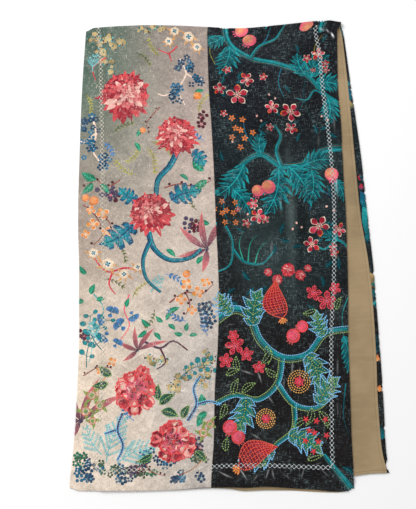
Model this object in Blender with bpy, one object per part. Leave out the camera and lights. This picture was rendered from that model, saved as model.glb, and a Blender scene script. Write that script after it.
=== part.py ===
"""A velvet scarf, folded once across its middle and laid flat.

Two long velvet panels, sewn side by side, are the outer side. One lining covers their inner side.
The scarf is folded under at its middle, so the front leaf lies on the back leaf, with the velvet
outside and the lining against itself. The fold line is a little askew, and so the back leaf shows
along one side as a narrow wedge of lining.

Cloth points have flat coordinates: "across" is 0 at the centre seam and positive to the right,
and "along" is 0 at the fold, negative down the front leaf and positive down the back leaf. Each
point also has a depth, which is its distance outward from the lining's inner face.
"""

import bisect
import math

import bmesh
import bpy
from mathutils import Vector

MM = 0.001

# Cloth sizes, in millimetres like every size below
HALF_WIDTH = 260.0
LINING_THICKNESS = 1.0
VELVET_THICKNESS = 1.2
GAP = 0.3
VELVET_INNER = LINING_THICKNESS + GAP
VELVET_OUTER = VELVET_INNER + VELVET_THICKNESS

# The fold
FOLD_TILT = math.radians(2.0)
FOLD_INNER_RADIUS = 1.75
FOLD_ARC = math.pi * (FOLD_INNER_RADIUS + 0.5 * (VELVET_INNER + VELVET_OUTER))
FOLD_RISE_LENGTH = 42.0
FOLD_BUMP_LENGTH = 90.0

# The front leaf rests on the back leaf, and eases down to the floor outside it
BACK_STACK = VELVET_OUTER
REST_HEIGHT = BACK_STACK + GAP
EASE_START = 2.0
EASE_LENGTH = 17.0

# The velvet is turned over the lining's long edges
FRONT_TURN = 8.0
TURN_SLOPE = 0.25
EDGE_ROUND = 0.8

# Front leaf: how far each edge and the seam lie to the right of their straight lines
FRONT_SIDES = (
    # distance from fold, left edge, seam, right edge
    (0, 4.0, -9.0, 2.5),
    (16, 3.5, -9.5, -6.0),
    (40, 2.5, -9.0, -6.5),
    (140, -0.5, -6.0, -7.5),
    (215, -1.5, -1.0, -4.0),
    (340, -1.5, 5.0, -2.0),
    (415, 0.0, 7.5, 0.0),
    (490, 4.0, 11.0, 0.0),
    (560, 6.0, 13.0, -0.5),
    (650, 8.5, 11.0, -3.0),
    (740, 7.5, 5.0, -3.0),
    (830, 4.5, 3.0, -3.0),
    (920, -1.5, -2.0, -1.0),
)

# Back leaf: the same, and how wide the velvet is turned over the lining's right edge
BACK_SIDES = (
    # distance from fold, left edge, seam, right edge, right turn
    (0, 4.0, -9.0, 2.5, 3.0),
    (26, 3.5, -8.0, 5.5, 3.0),
    (105, 1.0, -5.0, 7.5, 4.0),
    (210, 0.0, -2.0, 11.0, 8.0),
    (310, 0.0, 0.0, 13.5, 12.0),
    (410, 0.0, 0.0, 13.5, 13.0),
    (510, 0.0, 0.0, 13.5, 8.0),
    (600, 0.0, 0.0, 11.0, 6.0),
    (695, 0.0, 0.0, 8.0, 7.5),
    (785, 0.0, 0.0, 4.0, 10.0),
    (870, 0.0, 0.0, -0.5, 7.5),
    (915, 0.0, 0.0, 1.5, 4.0),
)

# How far the folded edge lies beyond the straight fold line
FOLD_LINE = (
    # across, beyond
    (-260, -7.0),
    (-242, 0.5),
    (-146, 3.0),
    (-65, -0.5),
    (-8, -5.0),
    (67, -11.0),
    (138, -6.5),
    (236, 0.5),
    (260, -3.5),
)

# Front hem: how far velvet and lining reach from the fold line
FRONT_HEM = (
    # across, velvet, lining
    (-260, 921.0, 918.0),
    (-242, 926.5, 925.0),
    (-150, 927.0, 926.0),
    (-68, 925.0, 925.0),
    (0, 921.0, 921.8),
    (32, 921.0, 923.0),
    (61, 921.5, 927.0),
    (100, 919.5, 925.5),
    (142, 922.0, 926.0),
    (190, 925.0, 928.5),
    (228, 928.0, 929.5),
    (248, 928.0, 927.0),
    (260, 922.5, 920.0),
)

# Back hem: it reaches less far on the hidden left side
BACK_HEM = (
    # across, velvet, lining
    (-260, 915.5, 916.0),
    (0, 921.0, 922.0),
    (190, 926.5, 927.5),
    (225, 924.5, 925.5),
    (260, 926.0, 926.5),
)

# The largest folds of the front leaf, as long soft ridges
RIDGES = (
    # across, along, half length, half width, lean, height
    (158, -440, 170, 15, 0.06, 6.5),
    (246, -460, 150, 10, 0.04, 2.0),
    (40, -905, 60, 30, -0.55, 1.8),
    (120, -895, 70, 26, 0.45, 2.0),
    (190, -880, 70, 24, -0.30, 1.6),
    (-130, -740, 110, 34, -0.50, 1.6),
    (-60, -840, 90, 30, 0.40, 1.5),
    (-205, -560, 160, 30, 0.10, 1.3),
    (60, -640, 120, 30, 0.35, 1.5),
    (-110, -250, 170, 40, -0.12, 1.2),
    (95, -180, 150, 34, 0.20, 1.3),
)

# Where the cloth's columns of points run, from the seam outward
LEFT_COLUMNS = (0.5 * GAP, 45, 90, 135, 170)
LEFT_KNEES = (-2, 2, 5, 9, 14, 18, 21)
RIGHT_COLUMNS = (0.5 * GAP, 35, 75, 115, 137, 148, 158, 168, 179, 205, 232)
KNEE_STEP = 0.7

# How many rows of points each stretch has
FRONT_ROWS = 17
RISE_ROWS = (42, 30, 20, 12, 6)
ARC_ROWS = 8
BACK_ROWS = 12
HEM_KNEES = (21, 18, 14, 9, 5, 2)

COLOURS = {
    # node: base colour, roughness
    "velvet_left": ((0.52, 0.45, 0.38, 1.0), 0.85),
    "velvet_right": ((0.03, 0.03, 0.035, 1.0), 0.85),
    "lining": ((0.34, 0.26, 0.15, 1.0), 0.55),
}


def smooth(share):
    """Ease from 0 to 1 without a corner at either end."""
    share = min(max(share, 0.0), 1.0)
    return share * share * (3.0 - 2.0 * share)


def read_table(table, column, at):
    """Read one column of a table as a smooth curve through its rows."""
    places = [row[0] for row in table]
    values = [row[column] for row in table]
    if at <= places[0]:
        return values[0]
    if at >= places[-1]:
        return values[-1]
    i = bisect.bisect_right(places, at) - 1
    step = places[i + 1] - places[i]
    share = (at - places[i]) / step

    def slope(j):
        if j == 0 or j == len(places) - 1:
            return 0.0
        before = (values[j] - values[j - 1]) / (places[j] - places[j - 1])
        after = (values[j + 1] - values[j]) / (places[j + 1] - places[j])
        if before * after <= 0.0:
            return 0.0
        return 2.0 * before * after / (before + after)

    start_slope = slope(i) * step
    end_slope = slope(i + 1) * step
    rise = values[i + 1] - values[i]
    bend = 3.0 * rise - 2.0 * start_slope - end_slope
    twist = start_slope + end_slope - 2.0 * rise
    return values[i] + share * (start_slope + share * (bend + share * twist))


def sideways(table, across, distance):
    """How far a point lies to the right of its straight line."""
    seam = read_table(table, 2, distance)
    edge = read_table(table, 1 if across < 0.0 else 3, distance)
    share = abs(across) / HALF_WIDTH
    return seam + (edge - seam) * share


def fold_coordinates(across, along):
    """Turn flat cloth coordinates into a place on the fold line and a distance past it."""
    on_line = across * math.cos(FOLD_TILT) + along * math.sin(FOLD_TILT)
    past = along * math.cos(FOLD_TILT) - across * math.sin(FOLD_TILT)
    return on_line, past


def flat_coordinates(on_line, past):
    """The reverse of fold_coordinates."""
    across = on_line * math.cos(FOLD_TILT) - past * math.sin(FOLD_TILT)
    along = on_line * math.sin(FOLD_TILT) + past * math.cos(FOLD_TILT)
    return across, along


def outside_back_leaf(on_line, ahead):
    """How far a place on the floor is outside the back leaf's left edge or hem."""
    across, along = flat_coordinates(on_line, FOLD_ARC - ahead)
    left_edge = -HALF_WIDTH + read_table(BACK_SIDES, 1, along)
    beyond_edge = left_edge - across
    beyond_hem = along - read_table(BACK_HEM, 2, across)
    return max(beyond_edge, beyond_hem)


def ridge_height(across, along):
    """Add up the soft ridges at one point of the front leaf."""
    height = 0.0
    for at_across, at_along, half_length, half_width, lean, crest in RIDGES:
        down = (along - at_along) / half_length
        side = (across - at_across - lean * (along - at_along)) / half_width
        if abs(down) < 1.0 and abs(side) < 2.0:
            height += crest * smooth(1.0 - abs(down)) * smooth(1.0 - 0.5 * abs(side))
    return height


def place(across, along, depth):
    """Put one point of the cloth where it lies, folded over and resting."""
    on_line, past = fold_coordinates(across, along)
    bump = read_table(FOLD_LINE, 1, across)
    centre_height = BACK_STACK + FOLD_INNER_RADIUS
    if past <= 0.0:
        shift = sideways(FRONT_SIDES, across, -past)
        ahead = past
        outside = outside_back_leaf(on_line + shift, ahead)
        rest = REST_HEIGHT * (1.0 - smooth((outside - EASE_START) / EASE_LENGTH))
        near_fold = smooth(1.0 + past / FOLD_RISE_LENGTH)
        crest = centre_height + FOLD_INNER_RADIUS
        height = rest + (crest - rest) * near_fold + ridge_height(across, along) + depth
        bump *= smooth(1.0 + past / FOLD_BUMP_LENGTH)
    elif past < FOLD_ARC:
        shift = sideways(FRONT_SIDES, across, 0.0)
        angle = math.pi * past / FOLD_ARC
        radius = FOLD_INNER_RADIUS + depth
        ahead = radius * math.sin(angle)
        height = centre_height + radius * math.cos(angle)
    else:
        distance = past - FOLD_ARC
        shift = sideways(BACK_SIDES, across, distance)
        ahead = -distance
        height = BACK_STACK - depth
        bump *= smooth(1.0 - distance / FOLD_BUMP_LENGTH)
    on_line += shift
    ahead += bump
    x = on_line * math.cos(FOLD_TILT) - ahead * math.sin(FOLD_TILT)
    y = on_line * math.sin(FOLD_TILT) + ahead * math.cos(FOLD_TILT)
    return Vector((x, y, height))


def along_at(across, past):
    """The flat coordinate along the cloth of a point this far past the fold line."""
    return (past + across * math.sin(FOLD_TILT)) / math.cos(FOLD_TILT)


def back_hem_line():
    """Where the back leaf's hem lies under the front leaf, as a straight line."""
    left = place(-HALF_WIDTH, read_table(BACK_HEM, 2, -HALF_WIDTH), 0.0)
    right = place(HALF_WIDTH, read_table(BACK_HEM, 2, HALF_WIDTH), 0.0)
    slope = (right.y - left.y) / (right.x - left.x)
    return left.y - slope * left.x, slope


def row_line(row, layer):
    """A function that gives, for each place across, where one row of points runs."""
    start, slope = back_hem_line()
    hem_knees = len(HEM_KNEES)
    arc_start = hem_knees + 1 + FRONT_ROWS + len(RISE_ROWS)
    back_start = arc_start + ARC_ROWS

    def knee_line(across, knee, step):
        shorter = min(read_table(FRONT_HEM, 1, across), read_table(FRONT_HEM, 2, across))
        return max(start + slope * across - knee, KNEE_STEP * step - shorter)

    def line(across):
        if row == 0:
            return -read_table(FRONT_HEM, layer, across)
        if row <= hem_knees:
            return knee_line(across, HEM_KNEES[row - 1], row)
        if row <= hem_knees + FRONT_ROWS:
            share = (row - hem_knees) / (FRONT_ROWS + 1)
            low = knee_line(across, -EASE_START, hem_knees + 1)
            high = along_at(across, -RISE_ROWS[0])
            return low + (high - low) * share
        if row < arc_start:
            return along_at(across, -RISE_ROWS[row - hem_knees - FRONT_ROWS - 1])
        if row <= back_start:
            return along_at(across, FOLD_ARC * (row - arc_start) / ARC_ROWS)
        share = (row - back_start) / BACK_ROWS
        low = along_at(across, FOLD_ARC)
        return low + (read_table(BACK_HEM, layer, across) - low) * share

    return line


ROWS = len(HEM_KNEES) + 1 + FRONT_ROWS + len(RISE_ROWS) + ARC_ROWS + BACK_ROWS + 1
VELVET_COLUMN = 1
LINING_COLUMN = 2


def leaf_distance(along):
    """Distance from the fold, down whichever leaf the point is on."""
    return -along if along < 0.0 else max(along - FOLD_ARC, 0.0)


def turn_width(side, along):
    """How wide the velvet is turned over the lining's edge."""
    if side > 0 and along > FOLD_ARC:
        return read_table(BACK_SIDES, 4, leaf_distance(along))
    if side > 0:
        near_fold = smooth(1.0 + along / FOLD_RISE_LENGTH)
        return FRONT_TURN + (BACK_SIDES[0][4] - FRONT_TURN) * near_fold
    return FRONT_TURN


def left_knees(along):
    """Columns that follow the back leaf's left edge, so the front leaf bends just outside it."""
    reach = leaf_distance(along) * math.sin(2.0 * FOLD_TILT)
    inner = HALF_WIDTH - FRONT_TURN - GAP - KNEE_STEP
    columns = []
    for i, knee in enumerate(LEFT_KNEES):
        steps_left = len(LEFT_KNEES) - i
        columns.append(min(HALF_WIDTH - reach + knee, inner - KNEE_STEP * steps_left))
    return columns


def half_columns(side, along):
    """Places across one half of the cloth, from the seam to the turned edge."""
    if side > 0:
        return list(RIGHT_COLUMNS)
    return list(LEFT_COLUMNS) + left_knees(along)


def velvet_skins(side):
    """Rows of outer and inner points of one velvet panel, and the round of its turned edge."""
    outer_rows, inner_rows, edge_rows = [], [], []
    for row in range(ROWS):
        line = row_line(row, VELVET_COLUMN)
        middle = line(side * 0.5 * HALF_WIDTH)
        turn = HALF_WIDTH - turn_width(side, middle)
        flat = half_columns(side, middle)
        columns = [(a, VELVET_INNER) for a in flat]
        columns += [(turn - TURN_SLOPE, VELVET_INNER), (turn, 0.0), (HALF_WIDTH - EDGE_ROUND, 0.0)]
        outer, inner = [], []
        for a, inner_depth in columns:
            across = side * a
            outer.append(place(across, line(across), VELVET_OUTER))
            inner.append(place(across, line(across), inner_depth))
        edge = []
        for share in (0.25, 0.5, 0.75):
            angle = math.pi * share
            across = side * (HALF_WIDTH - EDGE_ROUND * (1.0 - math.sin(angle)))
            depth = 0.5 * VELVET_OUTER * (1.0 + math.cos(angle))
            edge.append(place(across, line(across), depth))
        outer_rows.append(outer)
        inner_rows.append(inner)
        edge_rows.append(edge)
    return outer_rows, inner_rows, edge_rows


def lining_skins():
    """Rows of outer and inner points of the lining."""
    outer_rows, inner_rows = [], []
    for row in range(ROWS):
        line = row_line(row, LINING_COLUMN)
        across_places = []
        for side in (-1, 1):
            middle = line(side * 0.5 * HALF_WIDTH)
            edge = HALF_WIDTH - turn_width(side, middle) - TURN_SLOPE - GAP
            half = half_columns(side, middle)[1:] + [edge]
            if side < 0:
                across_places += [-a for a in reversed(half)]
            else:
                across_places += [0.0] + half
        outer_rows.append([place(a, line(a), LINING_THICKNESS) for a in across_places])
        inner_rows.append([place(a, line(a), 0.0) for a in across_places])
    return outer_rows, inner_rows, [[] for _ in range(ROWS)]


def wall(name, outer_rows, inner_rows, edge_rows):
    """Make one closed wall of cloth between an outer and an inner skin of points."""
    bm = bmesh.new()
    rings = []
    for outer, inner, edge in zip(outer_rows, inner_rows, edge_rows):
        points = outer + edge + inner[::-1]
        rings.append([bm.verts.new(p * MM) for p in points])
    count = len(rings[0])
    for low, high in zip(rings, rings[1:]):
        for i in range(count):
            j = (i + 1) % count
            # Every skin is cut along the same diagonals, so that walls on each other keep their gap
            if low[i].co.x < low[j].co.x:
                bm.faces.new((low[i], low[j], high[j]))
                bm.faces.new((low[i], high[j], high[i]))
            else:
                bm.faces.new((low[i], low[j], high[i]))
                bm.faces.new((low[j], high[j], high[i]))
    columns = len(outer_rows[0])
    for ring in (rings[0], rings[-1]):
        for i in range(columns - 1):
            bm.faces.new((ring[i], ring[i + 1], ring[count - 2 - i], ring[count - 1 - i]))
        if edge_rows[0]:
            bm.faces.new(ring[columns - 1:count - columns + 1])
    bmesh.ops.recalc_face_normals(bm, faces=bm.faces)
    mesh = bpy.data.meshes.new(name)
    bm.to_mesh(mesh)
    bm.free()
    mesh.shade_smooth()
    mesh.set_sharp_from_angle(angle=math.radians(40.0))
    return bpy.data.objects.new(name, mesh)


def finish_of(name):
    """A plain cloth finish in the node's own colour."""
    colour, roughness = COLOURS[name]
    material = bpy.data.materials.new(name)
    material.use_nodes = True
    shader = material.node_tree.nodes["Principled BSDF"]
    shader.inputs["Base Color"].default_value = colour
    shader.inputs["Roughness"].default_value = roughness
    shader.inputs["Metallic"].default_value = 0.0
    return material


def clear_scene():
    for thing in list(bpy.data.objects):
        bpy.data.objects.remove(thing, do_unlink=True)


def main():
    clear_scene()
    collection = bpy.data.collections.new("velvet_scarf")
    bpy.context.scene.collection.children.link(collection)
    pieces = [
        wall("velvet_left", *velvet_skins(-1)),
        wall("velvet_right", *velvet_skins(1)),
        wall("lining", *lining_skins()),
    ]
    # The scarf's origin is the middle of its footprint, and its fold hangs on this empty
    corners = [v.co for piece in pieces for v in piece.data.vertices]
    middle_x = 0.5 * (min(c.x for c in corners) + max(c.x for c in corners))
    middle_y = 0.5 * (min(c.y for c in corners) + max(c.y for c in corners))
    fold = bpy.data.objects.new("fold_line", None)
    fold.location = (-middle_x, -middle_y, 0.0)
    collection.objects.link(fold)
    for piece in pieces:
        piece.data.materials.append(finish_of(piece.name))
        piece.parent = fold
        collection.objects.link(piece)


main()
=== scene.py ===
"""Looks of the folded velvet scarf: printed velvet, plain lining, embroidery and light.

The cloth lies as its solids do. Flat cloth coordinates are in millimetres: "across" is 0 at the
centre seam and positive to the right, "down" is the distance from the fold along the front leaf,
and "along" is minus "down" on the front leaf and positive on the back leaf.
The print is a set of flat shapes in painting order. Each velvet panel is cut along their outlines,
and every face takes the ink of the topmost shape that covers it.
"""

import math
import random

import bpy
import numpy as np
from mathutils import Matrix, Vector
from mathutils.geometry import delaunay_2d_cdt


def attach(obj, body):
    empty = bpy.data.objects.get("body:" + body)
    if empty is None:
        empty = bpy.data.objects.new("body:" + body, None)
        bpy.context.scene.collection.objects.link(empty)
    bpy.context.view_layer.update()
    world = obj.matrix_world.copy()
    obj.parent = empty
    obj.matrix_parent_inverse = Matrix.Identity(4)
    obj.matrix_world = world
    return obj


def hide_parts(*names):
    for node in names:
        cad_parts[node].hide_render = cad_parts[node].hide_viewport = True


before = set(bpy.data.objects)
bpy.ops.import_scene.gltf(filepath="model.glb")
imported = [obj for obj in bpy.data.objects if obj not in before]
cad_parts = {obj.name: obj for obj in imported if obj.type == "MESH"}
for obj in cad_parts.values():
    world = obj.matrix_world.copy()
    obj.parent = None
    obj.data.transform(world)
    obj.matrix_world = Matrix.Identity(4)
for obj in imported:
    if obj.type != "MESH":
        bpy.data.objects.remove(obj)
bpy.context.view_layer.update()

MM = 0.001

# The cloth's make and its fold
HALF_WIDTH = 260.0
LINING_THICKNESS = 1.0
VELVET_THICKNESS = 1.2
GAP = 0.3
VELVET_INNER = LINING_THICKNESS + GAP
VELVET_OUTER = VELVET_INNER + VELVET_THICKNESS
FOLD_TILT = math.radians(2.0)
FOLD_INNER_RADIUS = 1.75
FOLD_ARC = math.pi * (FOLD_INNER_RADIUS + 0.5 * (VELVET_INNER + VELVET_OUTER))
FOLD_RISE_LENGTH = 42.0
FOLD_BUMP_LENGTH = 90.0
REST_HEIGHT = VELVET_OUTER + GAP
EASE_START = 2.0
EASE_LENGTH = 17.0
FRONT_TURN = 8.0

# Where the seam meets the fold line, in the part's frame
ORIGIN_X = -31.652
ORIGIN_Y = 458.267

# Front leaf: how far each edge and the seam lie to the right of their straight lines
FRONT_SIDES = (
    # distance from fold, left edge, seam, right edge
    (0, 4.0, -9.0, 2.5),
    (16, 3.5, -9.5, -6.0),
    (40, 2.5, -9.0, -6.5),
    (140, -0.5, -6.0, -7.5),
    (215, -1.5, -1.0, -4.0),
    (340, -1.5, 5.0, -2.0),
    (415, 0.0, 7.5, 0.0),
    (490, 4.0, 11.0, 0.0),
    (560, 6.0, 13.0, -0.5),
    (650, 8.5, 11.0, -3.0),
    (740, 7.5, 5.0, -3.0),
    (830, 4.5, 3.0, -3.0),
    (920, -1.5, -2.0, -1.0),
)

# Back leaf: the same, and how wide the velvet is turned over the lining's right edge
BACK_SIDES = (
    # distance from fold, left edge, seam, right edge, right turn
    (0, 4.0, -9.0, 2.5, 3.0),
    (26, 3.5, -8.0, 5.5, 3.0),
    (105, 1.0, -5.0, 7.5, 4.0),
    (210, 0.0, -2.0, 11.0, 8.0),
    (310, 0.0, 0.0, 13.5, 12.0),
    (410, 0.0, 0.0, 13.5, 13.0),
    (510, 0.0, 0.0, 13.5, 8.0),
    (600, 0.0, 0.0, 11.0, 6.0),
    (695, 0.0, 0.0, 8.0, 7.5),
    (785, 0.0, 0.0, 4.0, 10.0),
    (870, 0.0, 0.0, -0.5, 7.5),
    (915, 0.0, 0.0, 1.5, 4.0),
)

# How far the folded edge lies beyond the straight fold line
FOLD_LINE = (
    # across, beyond
    (-260, -7.0),
    (-242, 0.5),
    (-146, 3.0),
    (-65, -0.5),
    (-8, -5.0),
    (67, -11.0),
    (138, -6.5),
    (236, 0.5),
    (260, -3.5),
)

# How far velvet and lining reach from the fold line, at both hems
FRONT_HEM = (
    # across, velvet, lining
    (-260, 921.0, 918.0),
    (-242, 926.5, 925.0),
    (-150, 927.0, 926.0),
    (-68, 925.0, 925.0),
    (0, 921.0, 921.8),
    (32, 921.0, 923.0),
    (61, 921.5, 927.0),
    (100, 919.5, 925.5),
    (142, 922.0, 926.0),
    (190, 925.0, 928.5),
    (228, 928.0, 929.5),
    (248, 928.0, 927.0),
    (260, 922.5, 920.0),
)
BACK_HEM = (
    # across, velvet, lining
    (-260, 915.5, 916.0),
    (0, 921.0, 922.0),
    (190, 926.5, 927.5),
    (225, 924.5, 925.5),
    (260, 926.0, 926.5),
)

# The largest folds of the front leaf, as long soft ridges
RIDGES = (
    # across, along, half length, half width, lean, height
    (158, -440, 170, 14, 0.06, 8.5),
    (246, -460, 150, 10, 0.04, 2.0),
    (40, -905, 60, 30, -0.55, 1.8),
    (120, -895, 70, 26, 0.45, 2.0),
    (190, -880, 70, 24, -0.30, 1.6),
    (-130, -740, 110, 34, -0.50, 1.6),
    (-60, -840, 90, 30, 0.40, 1.5),
    (-205, -560, 160, 30, 0.10, 1.3),
    (60, -640, 120, 30, 0.35, 1.5),
    (-110, -250, 170, 40, -0.12, 1.2),
    (95, -180, 150, 34, 0.20, 1.3),
)

# Fine creases of the front leaf: where the embroidery puckers it and where it was pressed
CREASES = (
    # across, along, half length, turn, bend, half width, height
    (-62, -748, 34, -0.2, 0.10, 2.6, 1.5),
    (-40, -770, 30, 0.1, -0.08, 2.2, 1.4),
    (-34, -792, 32, -0.35, 0.06, 2.4, 1.5),
    (-52, -812, 26, 0.2, 0.10, 2.2, 1.2),
    (-30, -700, 28, 0.05, 0.05, 2.0, 1.0),
    (-26, -850, 24, -0.5, 0.10, 2.2, 1.4),
    (-20, -884, 20, 0.4, -0.10, 2.0, 1.2),
    (-112, -800, 26, 1.35, 0.10, 2.6, 1.4),
    (-98, -822, 24, 1.7, -0.06, 2.2, 1.2),
    (-150, -684, 26, 0.6, 0.12, 2.6, 1.4),
    (-176, -700, 22, -0.5, 0.10, 2.4, 1.2),
    (-214, -760, 24, 1.1, 0.08, 2.4, 1.0),
    (-206, -836, 30, -0.9, 0.08, 2.6, 1.2),
    (-140, -850, 34, 0.3, 0.10, 2.8, 1.0),
    (-120, -904, 40, 0.05, 0.04, 3.0, 1.0),
    (-228, -884, 24, 0.7, 0.10, 2.6, 1.0),
    (-232, -320, 22, 0.1, 0.06, 2.4, 0.8),
    (-244, -470, 16, -0.2, 0.05, 2.0, 0.8),
    (-100, -540, 40, 1.5, 0.04, 3.0, 0.8),
    (-40, -330, 36, 1.45, 0.05, 3.0, 0.8),
    (-150, -300, 40, 1.2, 0.05, 3.0, 0.8),
    (22, -664, 20, 0.15, 0.10, 2.0, 1.4),
    (30, -704, 24, -0.1, 0.08, 2.0, 1.4),
    (24, -732, 20, 0.3, -0.08, 1.8, 1.2),
    (60, -712, 26, -0.3, 0.10, 2.2, 1.4),
    (84, -720, 22, -1.2, 0.10, 2.0, 1.5),
    (104, -760, 24, -0.9, 0.08, 1.9, 1.5),
    (150, -700, 30, 1.5, 0.05, 2.2, 1.5),
    (162, -712, 26, 1.62, -0.05, 2.0, 1.4),
    (174, -716, 24, 1.48, 0.06, 1.9, 1.4),
    (186, -706, 22, 1.6, 0.08, 1.9, 1.2),
    (212, -800, 30, 1.5, 0.05, 2.2, 1.4),
    (204, -840, 22, 1.35, 0.10, 2.0, 1.2),
    (238, -700, 34, 1.55, 0.03, 2.2, 1.2),
    (60, -810, 22, 0.2, 0.12, 2.0, 1.4),
    (78, -830, 20, -0.5, 0.10, 1.9, 1.4),
    (186, -868, 24, 0.2, 0.10, 2.0, 1.2),
    (56, -897, 28, -0.95, 0.06, 1.6, 1.8),
    (26, -896, 28, -0.45, -0.10, 1.6, 1.6),
    (104, -896, 22, 1.25, 0.08, 1.6, 1.5),
    (114, -897, 20, 1.8, 0.08, 1.6, 1.4),
    (168, -896, 24, 1.3, 0.06, 1.7, 1.2),
    (206, -896, 26, -0.75, 0.06, 1.7, 1.2),
    (196, -604, 28, 1.5, 0.06, 2.4, 1.2),
    (64, -560, 24, 1.45, 0.06, 2.2, 1.0),
    (110, -470, 40, 1.5, 0.04, 3.2, 1.0),
    (132, -380, 44, 1.56, 0.03, 3.4, 1.0),
    (214, -250, 40, 1.52, 0.03, 3.2, 0.8),
    (246, -340, 60, 1.56, 0.02, 2.8, 1.4),
    (247, -210, 40, 1.58, 0.02, 2.6, 1.0),
    (240, -12, 10, -0.9, 0.10, 2.6, 1.6),
    (250, -20, 12, -1.1, 0.10, 2.4, 2.4),
    (228, -10, 12, -0.4, 0.10, 2.6, 1.7),
    (-30, -722, 22, 0.08, 0.06, 1.8, 1.1),
    (-38, -734, 24, -0.06, 0.05, 1.7, 1.0),
    (-24, -758, 18, 0.12, 0.08, 1.8, 1.2),
    (-28, -780, 22, -0.12, 0.06, 1.7, 1.1),
    (-22, -802, 18, 0.05, -0.06, 1.8, 1.2),
    (-30, -822, 22, 0.18, 0.06, 1.7, 1.1),
    (-26, -836, 18, -0.1, 0.05, 1.7, 1.0),
    (-24, -868, 18, 0.1, 0.08, 1.8, 1.1),
    (-90, -860, 26, 1.9, 0.08, 1.8, 1.1),
    (-66, -880, 22, -0.7, 0.06, 1.8, 1.0),
    (24, -620, 18, 0.1, 0.06, 1.7, 1.0),
    (28, -644, 20, -0.12, 0.05, 1.7, 1.1),
    (22, -684, 16, 0.2, 0.08, 1.7, 1.1),
    (26, -716, 20, -0.05, 0.06, 1.7, 1.1),
    (30, -748, 22, 0.12, 0.06, 1.7, 1.2),
    (24, -772, 18, -0.15, 0.05, 1.7, 1.1),
    (26, -788, 18, 0.1, 0.06, 1.7, 1.0),
    (28, -822, 20, 0.05, 0.08, 1.7, 1.1),
    (70, -792, 18, 1.3, 0.06, 1.7, 1.0),
    (110, -800, 20, -1.2, 0.06, 1.7, 1.1),
    (134, -730, 24, 1.5, 0.05, 1.7, 1.1),
    (146, -740, 20, 1.6, 0.05, 1.7, 1.0),
    (204, -740, 26, 1.52, 0.04, 1.8, 1.1),
    (196, -880, 18, 0.4, 0.08, 1.8, 1.0),
    (136, -902, 18, -0.6, 0.08, 1.8, 1.1),
    (82, -904, 18, 0.9, 0.08, 1.8, 1.2),
    (236, -892, 18, -0.5, 0.08, 1.8, 1.0),
    (236, -780, 30, 1.56, 0.03, 1.8, 1.0),
)

# Creases of the lining where the back leaf shows
LINING_CREASES = (
    # across, along, half length, turn, bend, half width, height
    (244, 60, 20, 0.9, 0.10, 3.0, 0.7),
    (240, 150, 26, 0.5, 0.10, 3.4, 0.8),
    (236, 232, 24, 0.9, 0.10, 3.4, 0.8),
    (234, 300, 34, 0.9, 0.08, 3.6, 0.9),
    (240, 372, 28, -0.6, 0.10, 3.4, 0.9),
    (228, 430, 30, 0.7, 0.10, 3.6, 1.1),
    (232, 452, 24, 0.75, 0.06, 3.0, 0.9),
    (236, 520, 26, 0.3, 0.10, 3.4, 0.8),
    (222, 590, 34, 1.1, 0.06, 4.0, 0.8),
    (232, 680, 30, -0.4, 0.08, 4.0, 0.7),
    (220, 780, 36, 1.3, 0.05, 4.0, 0.8),
    (214, 860, 30, 0.2, 0.08, 3.4, 0.9),
    (206, 896, 26, -0.3, 0.08, 3.0, 0.8),
)


def table_curves(table):
    """Each column of a table as a smooth curve through its rows, read with an array of places."""
    places = np.array([row[0] for row in table], float)
    steps = np.diff(places)

    def curve_of(column):
        """One column's curve."""
        values = np.array([row[column] for row in table], float)
        rates = np.diff(values) / steps
        slopes = np.zeros(len(places))
        before, after = rates[:-1], rates[1:]
        same_way = before * after > 0.0
        both = np.where(same_way, before + after, 1.0)
        slopes[1:-1] = np.where(same_way, 2.0 * before * after / both, 0.0)

        def read(at):
            """The curve's value at each place, kept inside the table."""
            at = np.clip(at, places[0], places[-1])
            i = np.clip(np.searchsorted(places, at, side="right") - 1, 0, len(steps) - 1)
            share = (at - places[i]) / steps[i]
            rise = values[i + 1] - values[i]
            first = slopes[i] * steps[i]
            last = slopes[i + 1] * steps[i]
            bend = 3.0 * rise - 2.0 * first - last
            twist = first + last - 2.0 * rise
            return values[i] + share * (first + share * (bend + share * twist))

        return read

    return [None] + [curve_of(column) for column in range(1, len(table[0]))]


FRONT_CURVES = table_curves(FRONT_SIDES)
BACK_CURVES = table_curves(BACK_SIDES)
FOLD_CURVE = table_curves(FOLD_LINE)[1]
FRONT_HEM_CURVES = table_curves(FRONT_HEM)
BACK_HEM_CURVES = table_curves(BACK_HEM)


def smooth(share):
    """A share from 0 to 1, eased at both ends."""
    share = np.clip(share, 0.0, 1.0)
    return share * share * (3.0 - 2.0 * share)


def sideways(curves, across, distance):
    """How far a point lies to the right of its straight line."""
    seam = curves[2](distance)
    edge = np.where(across < 0.0, curves[1](distance), curves[3](distance))
    return seam + (edge - seam) * np.abs(across) / HALF_WIDTH


def ridge_height(across, along):
    """The soft ridges and the fine creases, added up."""
    height = np.zeros_like(across)
    for at_across, at_along, half_length, half_width, lean, crest in RIDGES:
        down = (along - at_along) / half_length
        side = (across - at_across - lean * (along - at_along)) / half_width
        height += crest * smooth(1.0 - np.abs(down)) * smooth(1.0 - 0.5 * np.abs(side))
    return height + crease_height(CREASES, across, along)


def crease_height(creases, across, along):
    """How high the fine creases of a table rise."""
    height = np.zeros_like(across)
    for at_across, at_along, half_length, turn, bend, half_width, crest in creases:
        dx = across - at_across
        dy = along - at_along
        down = (dx * math.cos(turn) + dy * math.sin(turn)) / half_length
        side = dy * math.cos(turn) - dx * math.sin(turn) - bend * half_length * (1.0 - down * down)
        near = (np.abs(down) < 1.0) & (np.abs(side) < 4.0 * half_width)
        profile = np.exp(-(side[near] / half_width) ** 2)
        height[near] += crest * smooth(1.0 - np.abs(down[near])) * profile
    return height


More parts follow.
